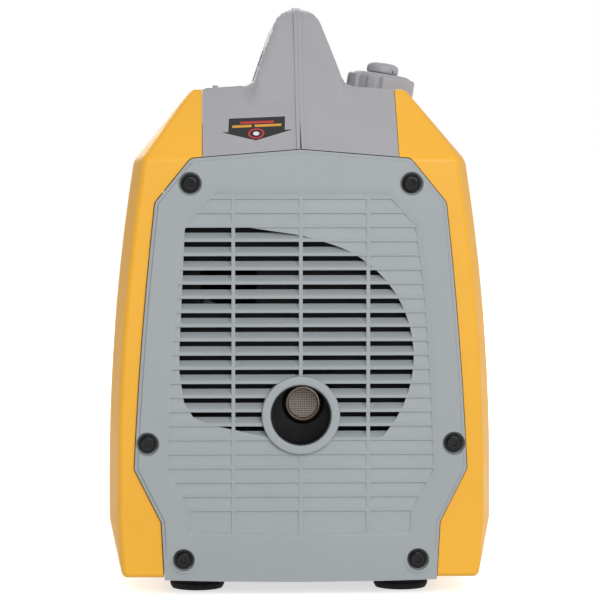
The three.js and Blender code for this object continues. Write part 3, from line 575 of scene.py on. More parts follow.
def printed_vinyl(name, colour):
    """Printed vinyl film: flat colour with a slight orange-peel waviness in its gloss."""
    material, tree, shader, place = surface_tree(name, Roughness=0.38, Base_Color=colour)
    embossed(tree, shader, noise(tree, place, 4, 1.0), 0.15, 0.05)
    return material


FINISHES = {}


def make_finishes(colours):
    """Every material of the object. Sizes are in millimetres."""
    FINISHES.update(
        yellow=moulded_plastic("moulded_yellow_abs", colours.side_yellow, 0.9, 0.05, 0.42, 0.03),
        grey=moulded_plastic("moulded_grey_polypropylene", colours.panel_grey, 1.1, 0.06, 0.5, 0.025),
        top_grey=moulded_plastic("moulded_grey_top_polypropylene", colours.top_grey, 1.0, 0.08, 0.46, 0.025),
        dark=moulded_plastic("textured_black_plastic", colours.trim_black, 1.2, 0.1, 0.55, 0.12),
        tank=moulded_plastic("blown_tank_polyethylene", linear("#34363A"), 3.0, 0.12, 0.5, 0.15),
        rubber=moulded_plastic("moulded_black_rubber", colours.rubber_black, 0.8, 0.12, 0.8, 0.2, 0.3),
        black_steel=rough_metal(
            "black_coated_steel",
            colours.screw_black,
            0.0,
            0.2,
            0.6,
            0.02,
            tinted(colours.screw_black, 0.7),
            12,
            0.25,
        ),
        shield=rough_metal("heat_blackened_sheet", linear("#060707"), 0.0, 0.85, 1.0, 0.03),
        steel=rough_metal(
            "heat_tinted_stainless", colours.outlet_steel, 1.0, 0.3, 0.5, 0.02, linear("#A39384"), 9
        ),
        bright_steel=rough_metal("machined_steel", linear("#C9CBCC"), 1.0, 0.26, 0.4, 0.01),
        cast=rough_metal("sand_cast_aluminium", linear("#B4B7B9"), 1.0, 0.5, 0.9, 0.15, linear("#8B8D8E"), 25),
        brass=rough_metal("turned_brass", linear("#C9A04E"), 1.0, 0.28, 0.5, 0.01, linear("#A67F3A"), 8),
        copper=wound_wire("enamelled_copper_wire", linear("#B4643A")),
        ceramic=moulded_plastic("glazed_white_ceramic", linear("#EFEBE3"), 5.0, 0.02, 0.14, 0.02),
        mesh=woven_mesh("woven_arrester_wire", linear("#847D76")),
        rope=braided_cord("braided_nylon_rope", linear("#26262B")),
        ink_black=printed_vinyl("printed_black_vinyl", linear("#0D0D0E")),
        ink_red=printed_vinyl("printed_red_vinyl", linear("#C2281E")),
        ink_yellow=printed_vinyl("printed_yellow_vinyl", linear("#D79A2B")),
        ink_white=printed_vinyl("printed_white_ink", linear("#E4E4E0")),
        lamp_green=moulded_plastic("green_lamp_lens", linear("#2C9A46"), 2.0, 0.02, 0.16, 0.1),
        lamp_amber=moulded_plastic("amber_lamp_lens", linear("#D98A1E"), 2.0, 0.02, 0.16, 0.1),
        lamp_red=moulded_plastic("red_lamp_lens", linear("#B4241D"), 2.0, 0.02, 0.16, 0.1),
    )


# ---- The housing's form ----
def side_at(z):
    """Half width of the side covers at a height."""
    if z < HEM:
        return HALF_WIDTH - TUCK * (HEM - z) / (HEM - COVER_BASE)
    if z < FULLEST:
        return HALF_WIDTH
    return HALF_WIDTH - SIDE_TAPER * ((z - FULLEST) / (SHOULDER - FULLEST)) ** 2


def four_corners(spots):
    return [Vector((sx * x, sy * y, z)) for x, y, z in spots for sx in (1, -1) for sy in (1, -1)]


def hulled(points):
    """The smallest convex solid that holds the points."""
    bm = bmesh.new()
    for point in points:
        bm.verts.new(point)
    bmesh.ops.remove_doubles(bm, verts=bm.verts, dist=0.01)
    bmesh.ops.convex_hull(bm, input=bm.verts)
    bmesh.ops.delete(bm, geom=[v for v in bm.verts if not v.link_faces], context="VERTS")
    bmesh.ops.recalc_face_normals(bm, faces=bm.faces)
    return tidy(bm, 0.25)


def housing_block(inset):
    """Both halves of the housing as one convex block, its walls moved in by a distance."""
    spots = []
    levels = [(COVER_BASE, COVER_BASE + inset)] + [(z, z) for z in (HEM, FULLEST)]
    steps = 9
    levels += [(z, z) for z in (FULLEST + (SHOULDER - FULLEST) * k / steps for k in range(1, steps))]
    for level, z in levels:
        drop = NOSE_DROP if level >= HEM else NOSE_DROP_AT_BASE
        spots.append((side_at(level) - inset, END_Y - NOSE_RUN, z))
        spots.append((side_at(level) - drop - inset, END_Y - inset, z))
    spots.append((side_at(SHOULDER) - inset, END_Y - NOSE_RUN, SHOULDER))
    spots.append((side_at(SHOULDER) - NOSE_DROP - inset, END_Y - inset, SLOPE_FOOT - inset / 2))
    spots.append((DECK_HALF - inset / 2, DECK_Y - inset / 2, DECK - inset))
    return hulled(four_corners(spots))


def panel_outline(grow=0.0):
    top, hip, bow = (113.4, PANEL_APEX - 41.2), (130.0, 99.8), 1.7
    side = [
        (top[0] + (hip[0] - top[0]) * t + 4 * bow * t * (1 - t), top[1] + (hip[1] - top[1]) * t, 0)
        for t in (0.17, 0.33, 0.5, 0.67, 0.83)
    ]
    half = [(0, PANEL_APEX, 0), (85.5, PANEL_APEX - 6.9, 6), (*top, 8), *side, (*hip, 3)]
    half += [(109.0, 58.0, 6), (106.6, PANEL_BASE, 0), (60, PANEL_BASE - 1.2, 0), (0, PANEL_BASE - 1.8, 0)]
    return grown(both_halves(half), grow)


SCREW_PLACES = [(sx * x, z) for x, z in ((86.0, 322.0), (119.5, 119.5), (91.5, 28.5)) for sx in (-1, 1)]
SEAT_RADIUS = 8.2
SEAT_DEPTH = 7.0
GRIP_Y, GRIP_Z = 130.0, 182.0
FILLER = Matrix.Translation((71.0, -60.0, 393.0)) @ Matrix.Rotation(math.radians(9), 4, "Y")
COLLAR_RADIUS = 32.0
DOOR = (-150.0, 60.0, 76.0, 262.0)
LOCK_PLACE = (-45.0, 244.0)
LID_HOLE = (-73.0, -45.0, -160.0, -100.0)


def rounded_box_outline(a0, a1, b0, b1, radius, grow=0.0):
    a0, a1, b0, b1, radius = a0 - grow, a1 + grow, b0 - grow, b1 + grow, radius + grow
    return rounded_outline([(a0, b0, radius), (a1, b0, radius), (a1, b1, radius), (a0, b1, radius)])


def starter_window(shrink=0.0):
    wide, tall, corner = 60, 34, 14
    return rounded_box_outline(GRIP_Y - wide, GRIP_Y + wide, GRIP_Z - tall, GRIP_Z + tall, corner, -shrink)


def door_outline(shrink=0.0):
    y0, y1, z0, z1 = DOOR
    return rounded_box_outline(y0 + shrink, y1 - shrink, z0 + shrink, z1 - shrink, 12)


def air_slots(side):
    """Tools that cut the cooling-air slots beside the fan."""
    slots = []
    for row in range(7):
        z = 84 + 9 * row
        outline = rounded_box_outline(88, 190, z, z + 4, 1.9)
        slots.append(prism("x", outline, side * 120 if side > 0 else -170, 170 if side > 0 else -120))
    return joined(*slots)


def housing_shell(sizes):
    outer = rounded_edges(housing_block(0), sizes.edge_radius, sharper_than=9)
    return cut(outer, housing_block(WALL), prism("y", panel_outline(0.25), -FAR, FAR))


class GENERATOR_OT_side_covers(bpy.types.Operator):
    """Makes the two yellow side covers and the service door"""

    bl_idname = "generator.side_covers"
    bl_label = "Side covers"

    def execute(self, context):
        sizes = context.scene.generator_sizes
        right = cut(
            housing_shell(sizes),
            block(-200, SEAM_X + 0.2, -FAR, FAR, -10, 500),
            prism("x", starter_window(), 60, 200),
            moved(rod(COLLAR_RADIUS + 0.4, -90, 60), FILLER),
            air_slots(1),
        )
        finish_piece("right_cover_moulding", right, "yellow", "right_side_cover", rim=sizes.rim_radius)
        left = cut(
            housing_shell(sizes),
            block(-SEAM_X - 0.2, 200, -FAR, FAR, -10, 500),
            prism("x", door_outline(), -200, -60),
            air_slots(-1),
        )
        finish_piece("left_cover_moulding", left, "yellow", "left_side_cover", rim=sizes.rim_radius)
        y0, y1, z0, z1 = DOOR
        frame_groove = cut(
            prism("x", rounded_box_outline(y0 + 12, y1 - 12, z0 + 12, z1 - 40, 9), -200, -100),
            prism("x", rounded_box_outline(y0 + 14, y1 - 14, z0 + 14, z1 - 42, 7), -210, -90),
            housing_block(0.8),
        )
        lock_face = -side_at(LOCK_PLACE[1])
        door = cut(
            fused(
                common(housing_shell(sizes), prism("x", door_outline(0.6), -200, -60)),
                prism("x", circle(*LOCK_PLACE, 12.0, 48), lock_face + 1, lock_face + 6.2),
            ),
            frame_groove,
            prism("x", circle(*LOCK_PLACE, 10.2, 48), -200, lock_face + 4.2),
            prism("x", circle(*LOCK_PLACE, 4.7, 32), -200, -60),
        )
        finish_piece("service_door_moulding", door, "yellow", "service_door", rim=0.6)
        return {"FINISHED"}


# ---- Exhaust end ----
def field_outline(grow=0.0):
    """The dished, gridded field of the exhaust end panel."""
    half = [(0, 314.6, 0), (66.5, 314.6, 8), (89.3, 289, 5), (95.4, 242, 0), (99, 199, 0), (101.5, 160, 0)]
    half += [(103.3, 111, 0), (103.5, 98.5, 5), (86.3, 67, 4), (85, 50, 2), (0, 47.6, 0)]
    return grown(both_halves(half), grow)


VENT_CENTRE = (-4.0, 187.3)
VENT_RADIUS = 92.0
VENT_FOOT, VENT_HEAD, VENT_LEFT = 124.6, 288.0, -94.5
RIB_X = (-52.5, 0.0, 52.5)
RING_PLACE = (0.0, 141.8)
RING_OUTER, RING_INNER = 30.5, 23.6
OUTLET_PLACE = (2.0, 150.0)
LOUVRE_BACK = -246.0
RING_BACK = -241.0


def vent_outline(grow=0.0):
    """The open part of the grille: a round fan opening with a square upper left corner and a flat foot."""
    a, b = VENT_CENTRE
    start = math.asin((VENT_FOOT - b) / VENT_RADIUS)
    end, steps = 1.25, 28
    bearings = [start + (end - start) * k / steps for k in range(steps + 1)]
    arc = [(a + VENT_RADIUS * math.cos(turn), b + VENT_RADIUS * math.sin(turn), 0) for turn in bearings]
    rest = [
        (0, VENT_HEAD - 6, 0), (-41, VENT_HEAD, 0), (VENT_LEFT + 4.5, VENT_HEAD, 2), (VENT_LEFT, b + 6, 0),
        (VENT_LEFT, b - 12, 0),
    ]
    rest += [(-91, 152, 0), (-84, 140.5, 0), (-70, 134, 0), (-25, VENT_FOOT, 0)]
    return grown(arc + rest, grow)


def bar_levels(sizes, low, high):
    lowest = 68.0
    levels = [lowest + sizes.louvre_pitch * k for k in range(int((high - lowest) / sizes.louvre_pitch) + 1)]
    return [z for z in levels if z > low]


def screw_seats(bm, front, back):
    """Cups behind the face and the round recesses that the screws sit in."""
    cups = joined(*[prism("y", circle(x, z, SEAT_RADIUS + 2), -front + 1, back) for x, z in SCREW_PLACES])
    cups = common(cups, prism("y", panel_outline(-0.6), -FAR, 0))
    bores = []
    for x, z in SCREW_PLACES:
        mouth, seat = circle(x, z, SEAT_RADIUS + 1.2), circle(x, z, SEAT_RADIUS)
        bores.append(lofted("y", [(mouth, -front - 0.1), (seat, -front + 2.4), (seat, -front + SEAT_DEPTH)]))
    shafts = [prism("y", circle(x, z, 2.7, 24), -FAR, -200) for x, z in SCREW_PLACES]
    return cut(fused(bm, cups), joined(*bores), joined(*shafts))


def end_tray(face):
    """A shallow tray that closes one end: a flange round the edge, then a raised face with a softened corner."""
    gap, step, wall = 0.35, 2.9, 3.6
    flange = softened("y", lambda grow: panel_outline(grow - gap), -face + 1.5, -face + 14, 0.5)
    raised = softened("y", lambda grow: panel_outline(grow - step), -face, -face + 4, 1.0)
    hollow = prism("y", panel_outline(-wall), -face + 5.5, -face + 20)
    tray = fused(flange, raised)
    foot = prism("x", [(-face - 2, 5), (-face - 2, 44), (-face, 44), (-face + 3.4, 5)], -200, 200)
    return cut(tray, hollow, foot)


class GENERATOR_OT_exhaust_panel(bpy.types.Operator):
    """Makes the grey exhaust end panel with its dished grid, its louvres and the exhaust ring"""

    bl_idname = "generator.exhaust_panel"
    bl_label = "Exhaust end panel"

    def execute(self, context):
        sizes = context.scene.generator_sizes
        face = FACE_Y
        dish = -face + sizes.dish_depth
        pocket_depth, slant = 1.1, 0.25
        floor = dish + pocket_depth
        half_bar, half_rib = sizes.bar_height / 2, sizes.rib_width / 2
        tray = end_tray(face)
        dished = lofted("y", [(field_outline(5.4), -face - 0.3), (field_outline(0.0), dish)])
        tray = cut(tray, dished)

        levels = bar_levels(sizes, 52, 314)
        rows = [40, *levels, 330]
        columns = [-130, *RIB_X, 130]
        cells = []
        for low, high in zip(rows, rows[1:]):
            for left, right in zip(columns, columns[1:]):
                foot, head = low + half_bar, high - half_bar
                pocket = [(dish - 1, foot), (dish - 1, head), (floor, head), (dish + slant, foot)]
                cells.append(prism("x", pocket, left + half_rib, right - half_rib))
        pockets = common(joined(*cells), prism("y", field_outline(-0.05), -FAR, 0))
        ring_hole = prism("y", circle(*RING_PLACE, RING_OUTER - 0.4, 72), -FAR, 0)
        vent_hole = prism("y", vent_outline(), -FAR, 0)
        tray = cut(tray, pockets, vent_hole, ring_hole)
        tray = screw_seats(tray, face, -face + SEAT_DEPTH + 3)
        finish_piece("exhaust_panel_moulding", tray, "grey", "rear_panel", rim=0.35)

        window = vent_outline(0.4)
        front = dish + 0.05
        blades, gussets = [], []
        for z in bar_levels(sizes, VENT_FOOT - 8, VENT_HEAD + 8):
            profile = [
                (front, z - half_bar), (front + 1.8, z - half_bar), (LOUVRE_BACK, z + 4.2),
                (LOUVRE_BACK, z + 5.7), (front + 0.4, z + half_bar), (front, z + half_bar),
            ]
            blades.append(prism("x", profile, -100, 100))
            for x in RIB_X:
                for side in (-1, 1):
                    wedge = [
                        (x + side * (half_rib - 0.2), front + 0.3),
                        (x + side * (half_rib - 0.2), LOUVRE_BACK - 0.1),
                        (x + side * (half_rib + 3.7), LOUVRE_BACK - 0.1),
                    ]
                    gussets.append(prism("z", wedge, z + 0.4, z + 5.6))
        ribs = [
            block(x - half_rib, x + half_rib, front, LOUVRE_BACK, VENT_FOOT - 8, VENT_HEAD + 8) for x in RIB_X
        ]
        grille = fused(joined(*blades), joined(*ribs), joined(*gussets))
        grille = common(grille, prism("y", window, -FAR, 0))
        grille = cut(grille, prism("y", circle(*RING_PLACE, RING_OUTER - 0.3, 72), -FAR, 0))
        finish_piece("exhaust_louvres", grille, "grey", rim=0.3)

        reach = HALF_LENGTH + RING_BACK
        ring = turned(
            [
                (RING_INNER, 0), (RING_OUTER, 0), (RING_OUTER, reach - 1.0), (RING_OUTER - 0.35, reach - 0.3),
                (RING_OUTER - 1.1, reach), (RING_INNER + 1.4, reach), (RING_INNER + 0.4, reach - 0.35),
                (RING_INNER, reach - 1.3),
            ],
            96,
        )
        moved(ring, along("-y", (RING_PLACE[0], RING_BACK, RING_PLACE[1])))
        finish_piece("exhaust_ring", ring, "grey", smooth=50)
        sleeve = tube(RING_INNER - 1, RING_INNER - 0.1, -3, 11.6, 96)
        moved(sleeve, along("-y", (RING_PLACE[0], RING_BACK, RING_PLACE[1])))
        finish_piece("exhaust_sleeve", sleeve, "black_steel", smooth=50)
        return {"FINISHED"}


class GENERATOR_OT_panel_screws(bpy.types.Operator):
    """Makes the six socket screws of the exhaust end with their washers"""

    bl_idname = "generator.panel_screws"
    bl_label = "Panel screws"

    def execute(self, context):
        seat = -FACE_Y + SEAT_DEPTH
        for number, (x, z) in enumerate(SCREW_PLACES, 1):
            profile = [(0, 0.4), (5.3, 0.4), (5.7, 0.8), (5.8, 1.6), (5.8, 3.6), (5.3, 4.3), (4.4, 4.6), (0, 4.6)]
            hexagons = [prism("z", circle(0, 0, 2.9, 6), 1.8, 6) for _ in range(2)]
            moved(hexagons[1], Matrix.Rotation(math.radians(30), 4, "Z"))
            head = cut(turned(profile, 48), *hexagons)
            shank = rod(2.2, -9.4, 0.9, 24)
            washer = tube(3.0, 7.6, 0.05, 0.55, 48)
            screw = moved(joined(head, shank, washer), along("-y", (x, seat - 0.1, z)))
            finish_piece("panel_screw_%d" % number, screw, "black_steel", "rear_screw_%d" % number)
        return {"FINISHED"}


class GENERATOR_OT_exhaust(bpy.types.Operator):
    """Makes the exhaust outlet with its mesh, the heat shield and the muffler"""

    bl_idname = "generator.exhaust"
    bl_label = "Exhaust"

    def execute(self, context):
        x, z = OUTLET_PLACE
        low, high = node_box("exhaust_outlet")
        run = high.y - low.y
        pipe = turned(
            [
                (11.5, 0), (13.2, 0), (13.2, run - 3.4), (13.8, run - 2.6), (14.0, run - 1.4), (13.6, run - 0.5),
                (12.7, run), (11.9, run - 0.4), (11.5, run - 1.4),
            ],
            72,
        )
        moved(pipe, along("-y", (x, high.y, z)))
        finish_piece("outlet_pipe", pipe, "steel", "exhaust_outlet", smooth=45)

        mesh_face = node_box("spark_arrester")[0].y
        basket = turned([(0, 0), (11.2, 0), (11.2, 14), (10.4, 14), (10.4, 2.2), (8.6, 1.2), (0, 0.8)], 72)
        moved(basket, along("y", (x, mesh_face, z)))
        finish_piece("arrester_basket", basket, "mesh", "spark_arrester", smooth=45)

        sheet = prism("y", offset_outline(vent_outline(), 6), -236.4, -235.4)
        sheet = cut(
            sheet,
            prism("y", circle(x, z, 16.5, 48), -FAR, 0),
            prism("y", rounded_box_outline(-78, -34, 226, 262, 6), -FAR, 0),
        )
        finish_piece("heat_shield", sheet, "shield", smooth=30)

        low, high = node_box("muffler")
        muffler = prism("y", rounded_box_outline(-68, 68, 96, 224, 26), low.y, high.y)
        rounded_edges(muffler, 7, sharper_than=60)
        muffler = cut(muffler, prism("y", circle(x, z, 11.5, 48), -FAR, -204))
        finish_piece("muffler_shell", muffler, "shield", "muffler", smooth=35)
        return {"FINISHED"}


# ---- Top cover and handle ----
GRIP_ROOT = 36.3
GRIP_RADIUS = 20.5
FLANK = math.radians(20)
CROWN_Y = HALF_LENGTH - 110
HAND_HOLE_HALF = 102.0
HAND_HOLE_TOP = HANDLE_TOP - 31
HANDLE_TAPER = 0.08


def deck_height(x, y):
    """Height of the top cover beside the handle, which is a low roof with its ridge in the middle."""
    ridge, edge = DECK + CREASE, DECK
    if abs(y) > DECK_Y + 6:
        ridge -= (ridge - PANEL_APEX + 0.5) * (abs(y) - DECK_Y - 6) / (END_Y - DECK_Y - 6)
    if abs(y) > DECK_Y:
        edge -= (edge - SLOPE_FOOT - 0.6) * (abs(y) - DECK_Y) / (END_Y - DECK_Y)
    return ridge + (edge - ridge) * min(abs(x) / SEAM_X, 1)


def bell_half(top, grow, soften, y=0.0):
    """Right half of the handle's section, top first: a round or softly flattened top, a flank, a flare."""
    centre = HANDLE_TOP - GRIP_RADIUS
    radius = GRIP_RADIUS + grow
    base = DECK - 62
    flare = [
        (GRIP_ROOT + out + grow, deck_height(GRIP_ROOT + out, y) + up)
        for out, up in ((-2.0, 8.5), (-0.6, 4.5), (2.8, 1.7), (10, -0.4))
    ]
    flare.append((GRIP_ROOT + 10 + grow, base))
    steps = 18
    arc = []
    for k in range(steps + 1):
        angle = math.pi / 2 - (math.pi / 2 - FLANK) * k / steps
        arc.append((radius * math.cos(angle), centre + radius * math.sin(angle)))
    line = arc + flare
    margin = 3 if top < flare[0][1] + 3 else 0
    below = [p for p in line if p[1] < top - margin]
    if len(below) == len(line) or below[0][1] >= top:
        return line
    index = len(line) - len(below)
    (xa, za), (xb, zb) = line[index - 1], line[index]
    cut_x = xa + (xb - xa) * (za - top) / (za - zb) if za > zb else xb
    room = (Vector((cut_x, top)) - Vector(below[0])).length
    corner = [(0, top, 0), (cut_x, top, min(soften, cut_x * 0.55, 0.9 * room)), (*below[0], 0)]
    rounded = rounded_outline([*corner, (0, base - 10, 0)], 8)
    return [p for p in rounded if p[1] > base - 5][:-1] + below


def evenly_spaced(line, count):
    """The same line with its points evenly spread along it."""
    lengths = [0.0]
    for a, b in zip(line, line[1:]):
        lengths.append(lengths[-1] + (Vector(b) - Vector(a)).length)
    points = []
    at = 0
    for k in range(count):
        want = lengths[-1] * k / (count - 1)
        while at < len(line) - 2 and lengths[at + 1] < want:
            at += 1
        span = lengths[at + 1] - lengths[at]
        t = (want - lengths[at]) / span if span else 0
        points.append(tuple(Vector(line[at]).lerp(Vector(line[at + 1]), t)))
    return points


def handle_profile(grow=0.0):
    """Half of the handle's side view, as (distance from the middle, height), from the end of the housing up."""
    end, top = END_Y + grow, HANDLE_TOP + grow
    climb = [
        (end, PANEL_APEX - 9 + grow), (DECK_Y + 42 + grow, DECK - 31), (DECK_Y + 29.6 + grow, DECK - 22),
        (DECK_Y + 14 + grow, DECK + 4), (DECK_Y - 1 + grow, DECK + 23), (CROWN_Y + 27 + grow, top - 24),
        (CROWN_Y + 14 + grow, top - 11), (CROWN_Y, top - 3), (CROWN_Y - 18, top - 0.3), (CROWN_Y - 36, top),
    ]
    return smooth_line(climb, 4)


def handle_form(grow=0.0, soften=9.0):
    """The handle as a skin over its sections from one end to the other."""
    profile = handle_profile(grow)
    stations = [(-y, top) for y, top in profile] + [(y, top) for y, top in reversed(profile)]
    sections = []
    for y, top in stations:
        slim = 1 - HANDLE_TAPER * (y + END_Y) / (2 * END_Y)
        half = [(x * slim, z) for x, z in evenly_spaced(bell_half(top, grow, soften, y), 34)]
        sections.append((both_halves(half), y))
    return lofted("y", sections)


def deck_block(inset):
    edge = SEAM_X + (5 if inset > 1 else 0)
    spots = [
        (0, END_Y - inset, PANEL_APEX - 0.5 - inset / 2), (0, DECK_Y + 6 - inset / 2, DECK + CREASE - inset),
        (edge, END_Y - inset, SLOPE_FOOT + 0.6 - inset / 2), (edge, DECK_Y - inset / 2, DECK - inset),
        (0, END_Y - inset, SLOPE_FOOT - 30), (edge, END_Y - inset, SLOPE_FOOT - 30),
    ]
    return hulled(four_corners(spots))


def hand_hole(grow=0.0):
    half = HAND_HOLE_HALF + grow
    return prism("x", rounded_box_outline(-half, half, DECK - 100, HAND_HOLE_TOP + grow, 16), -100, 100)


class GENERATOR_OT_top_cover(bpy.types.Operator):
    """Makes the grey top with its carry handle, in two halves that meet at a raised centre line"""

    bl_idname = "generator.top_cover"
    bl_label = "Top cover and handle"

    def execute(self, context):
        sizes = context.scene.generator_sizes
        ridge_half = sizes.ridge_width / 2
        handle = cut(handle_form(), hand_hole())
        crest = handle_profile(1.2)
        side_view = [*crest, *[(-y, z) for y, z in reversed(crest)], (-END_Y, DECK - 62), (END_Y, DECK - 62)]
        ridge = prism("x", side_view, -ridge_half, ridge_half)
        ridge = cut(ridge, hand_hole(-1.0))
        deck_ridge = common(deck_block(-1.2), block(-ridge_half, ridge_half, -FAR, FAR, 300, 500))
        whole = fused(deck_block(0), handle, ridge, deck_ridge)
        bell = both_halves(evenly_spaced(bell_half(HANDLE_TOP + 50, -WALL - 1.5, 0), 30))
        line = [(y, z) for y, z in handle_profile(-WALL) if z > DECK - 10]
        feet = [(side * line[0][0], DECK - 60) for side in (-1, 1)]
        side_hollow = [feet[1], *line, *[(-y, z) for y, z in reversed(line)], feet[0]]
        hollow_handle = common(prism("y", bell, -DECK_Y + 8, DECK_Y - 8), prism("x", side_hollow, -100, 100))
        hollow_handle = cut(hollow_handle, hand_hole(WALL))
        whole = cut(
            whole,
            deck_block(WALL),
            hollow_handle,
            prism("y", panel_outline(0.25), -FAR, FAR),
            block(-200, 200, -FAR, FAR, 200, SLOPE_FOOT - 1),
            moved(rod(COLLAR_RADIUS + 0.4, -40, 60), FILLER),
            block(*LID_HOLE, DECK - 20, DECK + 20),
            prism("y", [(0, 378), (0.9, 340), (-0.5, 340)], -FAR, -150),
        )
        for side, name in ((-1, "left"), (1, "right")):
            edge, joint = SEAM_X - 0.2, 0.05
            spans = ((-FAR, joint), (edge, FAR)) if side > 0 else ((-joint, FAR), (-FAR, -edge))
            half = cut(whole.copy(), *[block(*span, -FAR, FAR, 200, 600) for span in spans])
            finish_piece("top_cover_moulding_" + name, half, "top_grey", "top_cover_" + name, rim=0.4, smooth=28)
        whole.free()
        return {"FINISHED"}


class GENERATOR_OT_arrow_sticker(bpy.types.Operator):
    """Makes the plain arrow sticker on the sloped top, without lettering"""

    bl_idname = "generator.arrow_sticker"
    bl_label = "Arrow sticker"

    def execute(self, context):
        x, top, wings, tip = -33.5, 373.4, 362.9, 355.6
        tilt = 0.042
        mark_x, mark_z, squash = x - 0.8, 360.9, 0.62

        def tilted(outline):
            return [(a, b + tilt * (a - x)) for a, b in outline]

        def bar(left, right, low, high):
            return rounded_box_outline(x + left, x + right, top - low, top - high, 0.5)

        def oval(radius):
            return [(mark_x + radius * a, mark_z + squash * radius * b) for a, b in circle(0, 0, 1, 36)]

        arrow = [
            (x - 22, top), (x + 22, top), (x + 21.5, wings), (x + 27.5, wings), (x - 1.2, tip), (x - 27.5, wings),
            (x - 22.5, wings),
        ]
        layers = [
            ("arrow_film", arrow, None, 0.0, "ink_black"),
            ("arrow_red_bar", bar(-13.2, 13.2, 4.6, 2.9), None, 0.1, "ink_red"),
            ("arrow_yellow_bar_left", bar(-19.5, -4.2, 7.4, 5.5), None, 0.1, "ink_yellow"),
            ("arrow_yellow_bar_right", bar(-2.0, 19, 7.4, 5.5), None, 0.1, "ink_yellow"),
            ("arrow_ring", oval(6.4), oval(4.9), 0.1, "ink_red"),
            ("arrow_spot", oval(2.45), None, 0.1, "ink_white"),
        ]
        for name, outline, hole, low, finish in layers:
            high = 0.18 if low else 0.12
            film = cut(deck_block(-high), deck_block(-low))
            film = common(film, prism("y", tilted(outline), -FAR, -100))
            if hole:
                film = cut(film, prism("y", tilted(hole), -FAR, -100))
            finish_piece(name, film, finish)
        return {"FINISHED"}


class GENERATOR_OT_fuel_cap(bpy.types.Operator):
    """Makes the lobed fuel cap, its rubber insert, the vent knob and the filler collar"""

    bl_idname = "generator.fuel_cap"
    bl_label = "Fuel cap"

    def execute(self, context):
        sizes = context.scene.generator_sizes
        radius, height = 28.2, 18.0
        grooves = [(turn + a, turn + b) for turn in (0, 180) for a, b in ((-90, -73), (-49, -28), (-7, -2.5))]

        def cap_outline(grow=0.0):
            points = []
            for k in range(240):
                bearing = 360 * k / 240 - 180
                dip = sum(
                    0.5 * (math.tanh((bearing - a) / 1.6) - math.tanh((bearing - b) / 1.6))
                    for low, high in grooves
                    for a, b in ((low, high), (low - 360, high - 360))
                )
                r = radius + grow - 2.4 * dip
                angle = math.radians(bearing - 90)
                points.append((r * math.cos(angle), r * math.sin(angle)))
            return points

        body = softened("z", cap_outline, height - 2.2, -3, 3.0, 5)
        rim = radius - 3.2
        crown = turned(
            [
                (0, height - 5), (rim - 0.3, height - 5), (rim - 0.3, height - 3.6), (rim - 0.9, height - 2.1),
                (rim - 2.2, height - 1.0), (rim - 4.4, height - 0.3), (rim - 7.0, height), (0, height),
            ],
            96,
        )
        neck = rod(20, -8, 11)
        cap = cut(fused(body, crown), neck)
        moved(cap, FILLER)
        finish_piece("lobed_fuel_cap", cap, "top_grey", "fuel_cap", smooth=38)

        insert = turned(
            [(9, -6), (14.4, -6), (14.7, -5.4), (14.7, 8.4), (18.5, 8.4), (18.5, 10.4), (18.1, 10.8), (9, 10.8)],
            64,
        )
        moved(insert, FILLER)
        finish_piece("cap_rubber_insert", insert, "rubber", "fuel_cap_insert")

        r = sizes.knob_radius
        knob = turned(
            [
                (0, height + 0.5), (r - 0.8, height + 0.5), (r - 0.2, height + 1.0), (r, height + 2.0),
                (r, height + 4.4), (r - 0.5, height + 6.1), (r - 1.7, height + 7.5), (r - 3.6, height + 8.4),
                (r - 6.5, height + 8.9), (0, height + 9.0),
            ],
            96,
        )
        slot = block(r - 2.0, r + 2, -1.1, 1.1, height, height + 3.2)
        knob = cut(knob, moved(slot, Matrix.Rotation(math.radians(-52), 4, "Z")))
        moved(knob, FILLER)
        finish_piece("cap_vent_knob", knob, "top_grey", "vent_knob", smooth=40)

        c = COLLAR_RADIUS
        collar = turned(
            [
                (20, -8.5), (c - 2.4, -8.5), (c - 2.4, -18), (c, -18), (c, -2.2), (c - 0.5, -1.6),
                (c - 1.2, -1.4), (c - 2.0, -1.7), (c - 2.4, -2.6), (c - 2.4, -6), (20, -6),
            ],
            96,
        )
        moved(collar, FILLER)
        finish_piece("filler_collar_ring", collar, "top_grey", "filler_collar", smooth=45)
        return {"FINISHED"}


class GENERATOR_OT_plug_lid(bpy.types.Operator):
    """Makes the lid over the spark plug with its finger lip"""

    bl_idname = "generator.plug_lid"
    bl_label = "Spark plug lid"

    def execute(self, context):
        x0, x1, y0, y1 = LID_HOLE
        cover = prism("z", rounded_box_outline(x0 - 1, x1 + 1, y0 - 4, y1 + 4, 3), DECK - 20, DECK + 20)
        plate = common(cover, deck_block(-1.0))
        plate = cut(plate, deck_block(-0.2))
        skirt = cut(
            prism("z", rounded_box_outline(x0 + 1, x1 - 1, y0 + 1, y1 - 1, 2), DECK - 5, DECK + 1.2),
            prism("z", rounded_box_outline(x0 + 3, x1 - 3, y0 + 3, y1 - 3, 1), DECK - 6, DECK - 0.4),
        )
        lip = prism("z", rounded_box_outline(x0 + 5, x0 + 9, y0 - 4, y0 + 8, 1.5), DECK - 0.5, DECK + 3.4)
        lid = fused(plate, skirt, lip)
        finish_piece("spark_plug_lid_moulding", lid, "top_grey", "spark_plug_lid", rim=0.5)
        return {"FINISHED"}


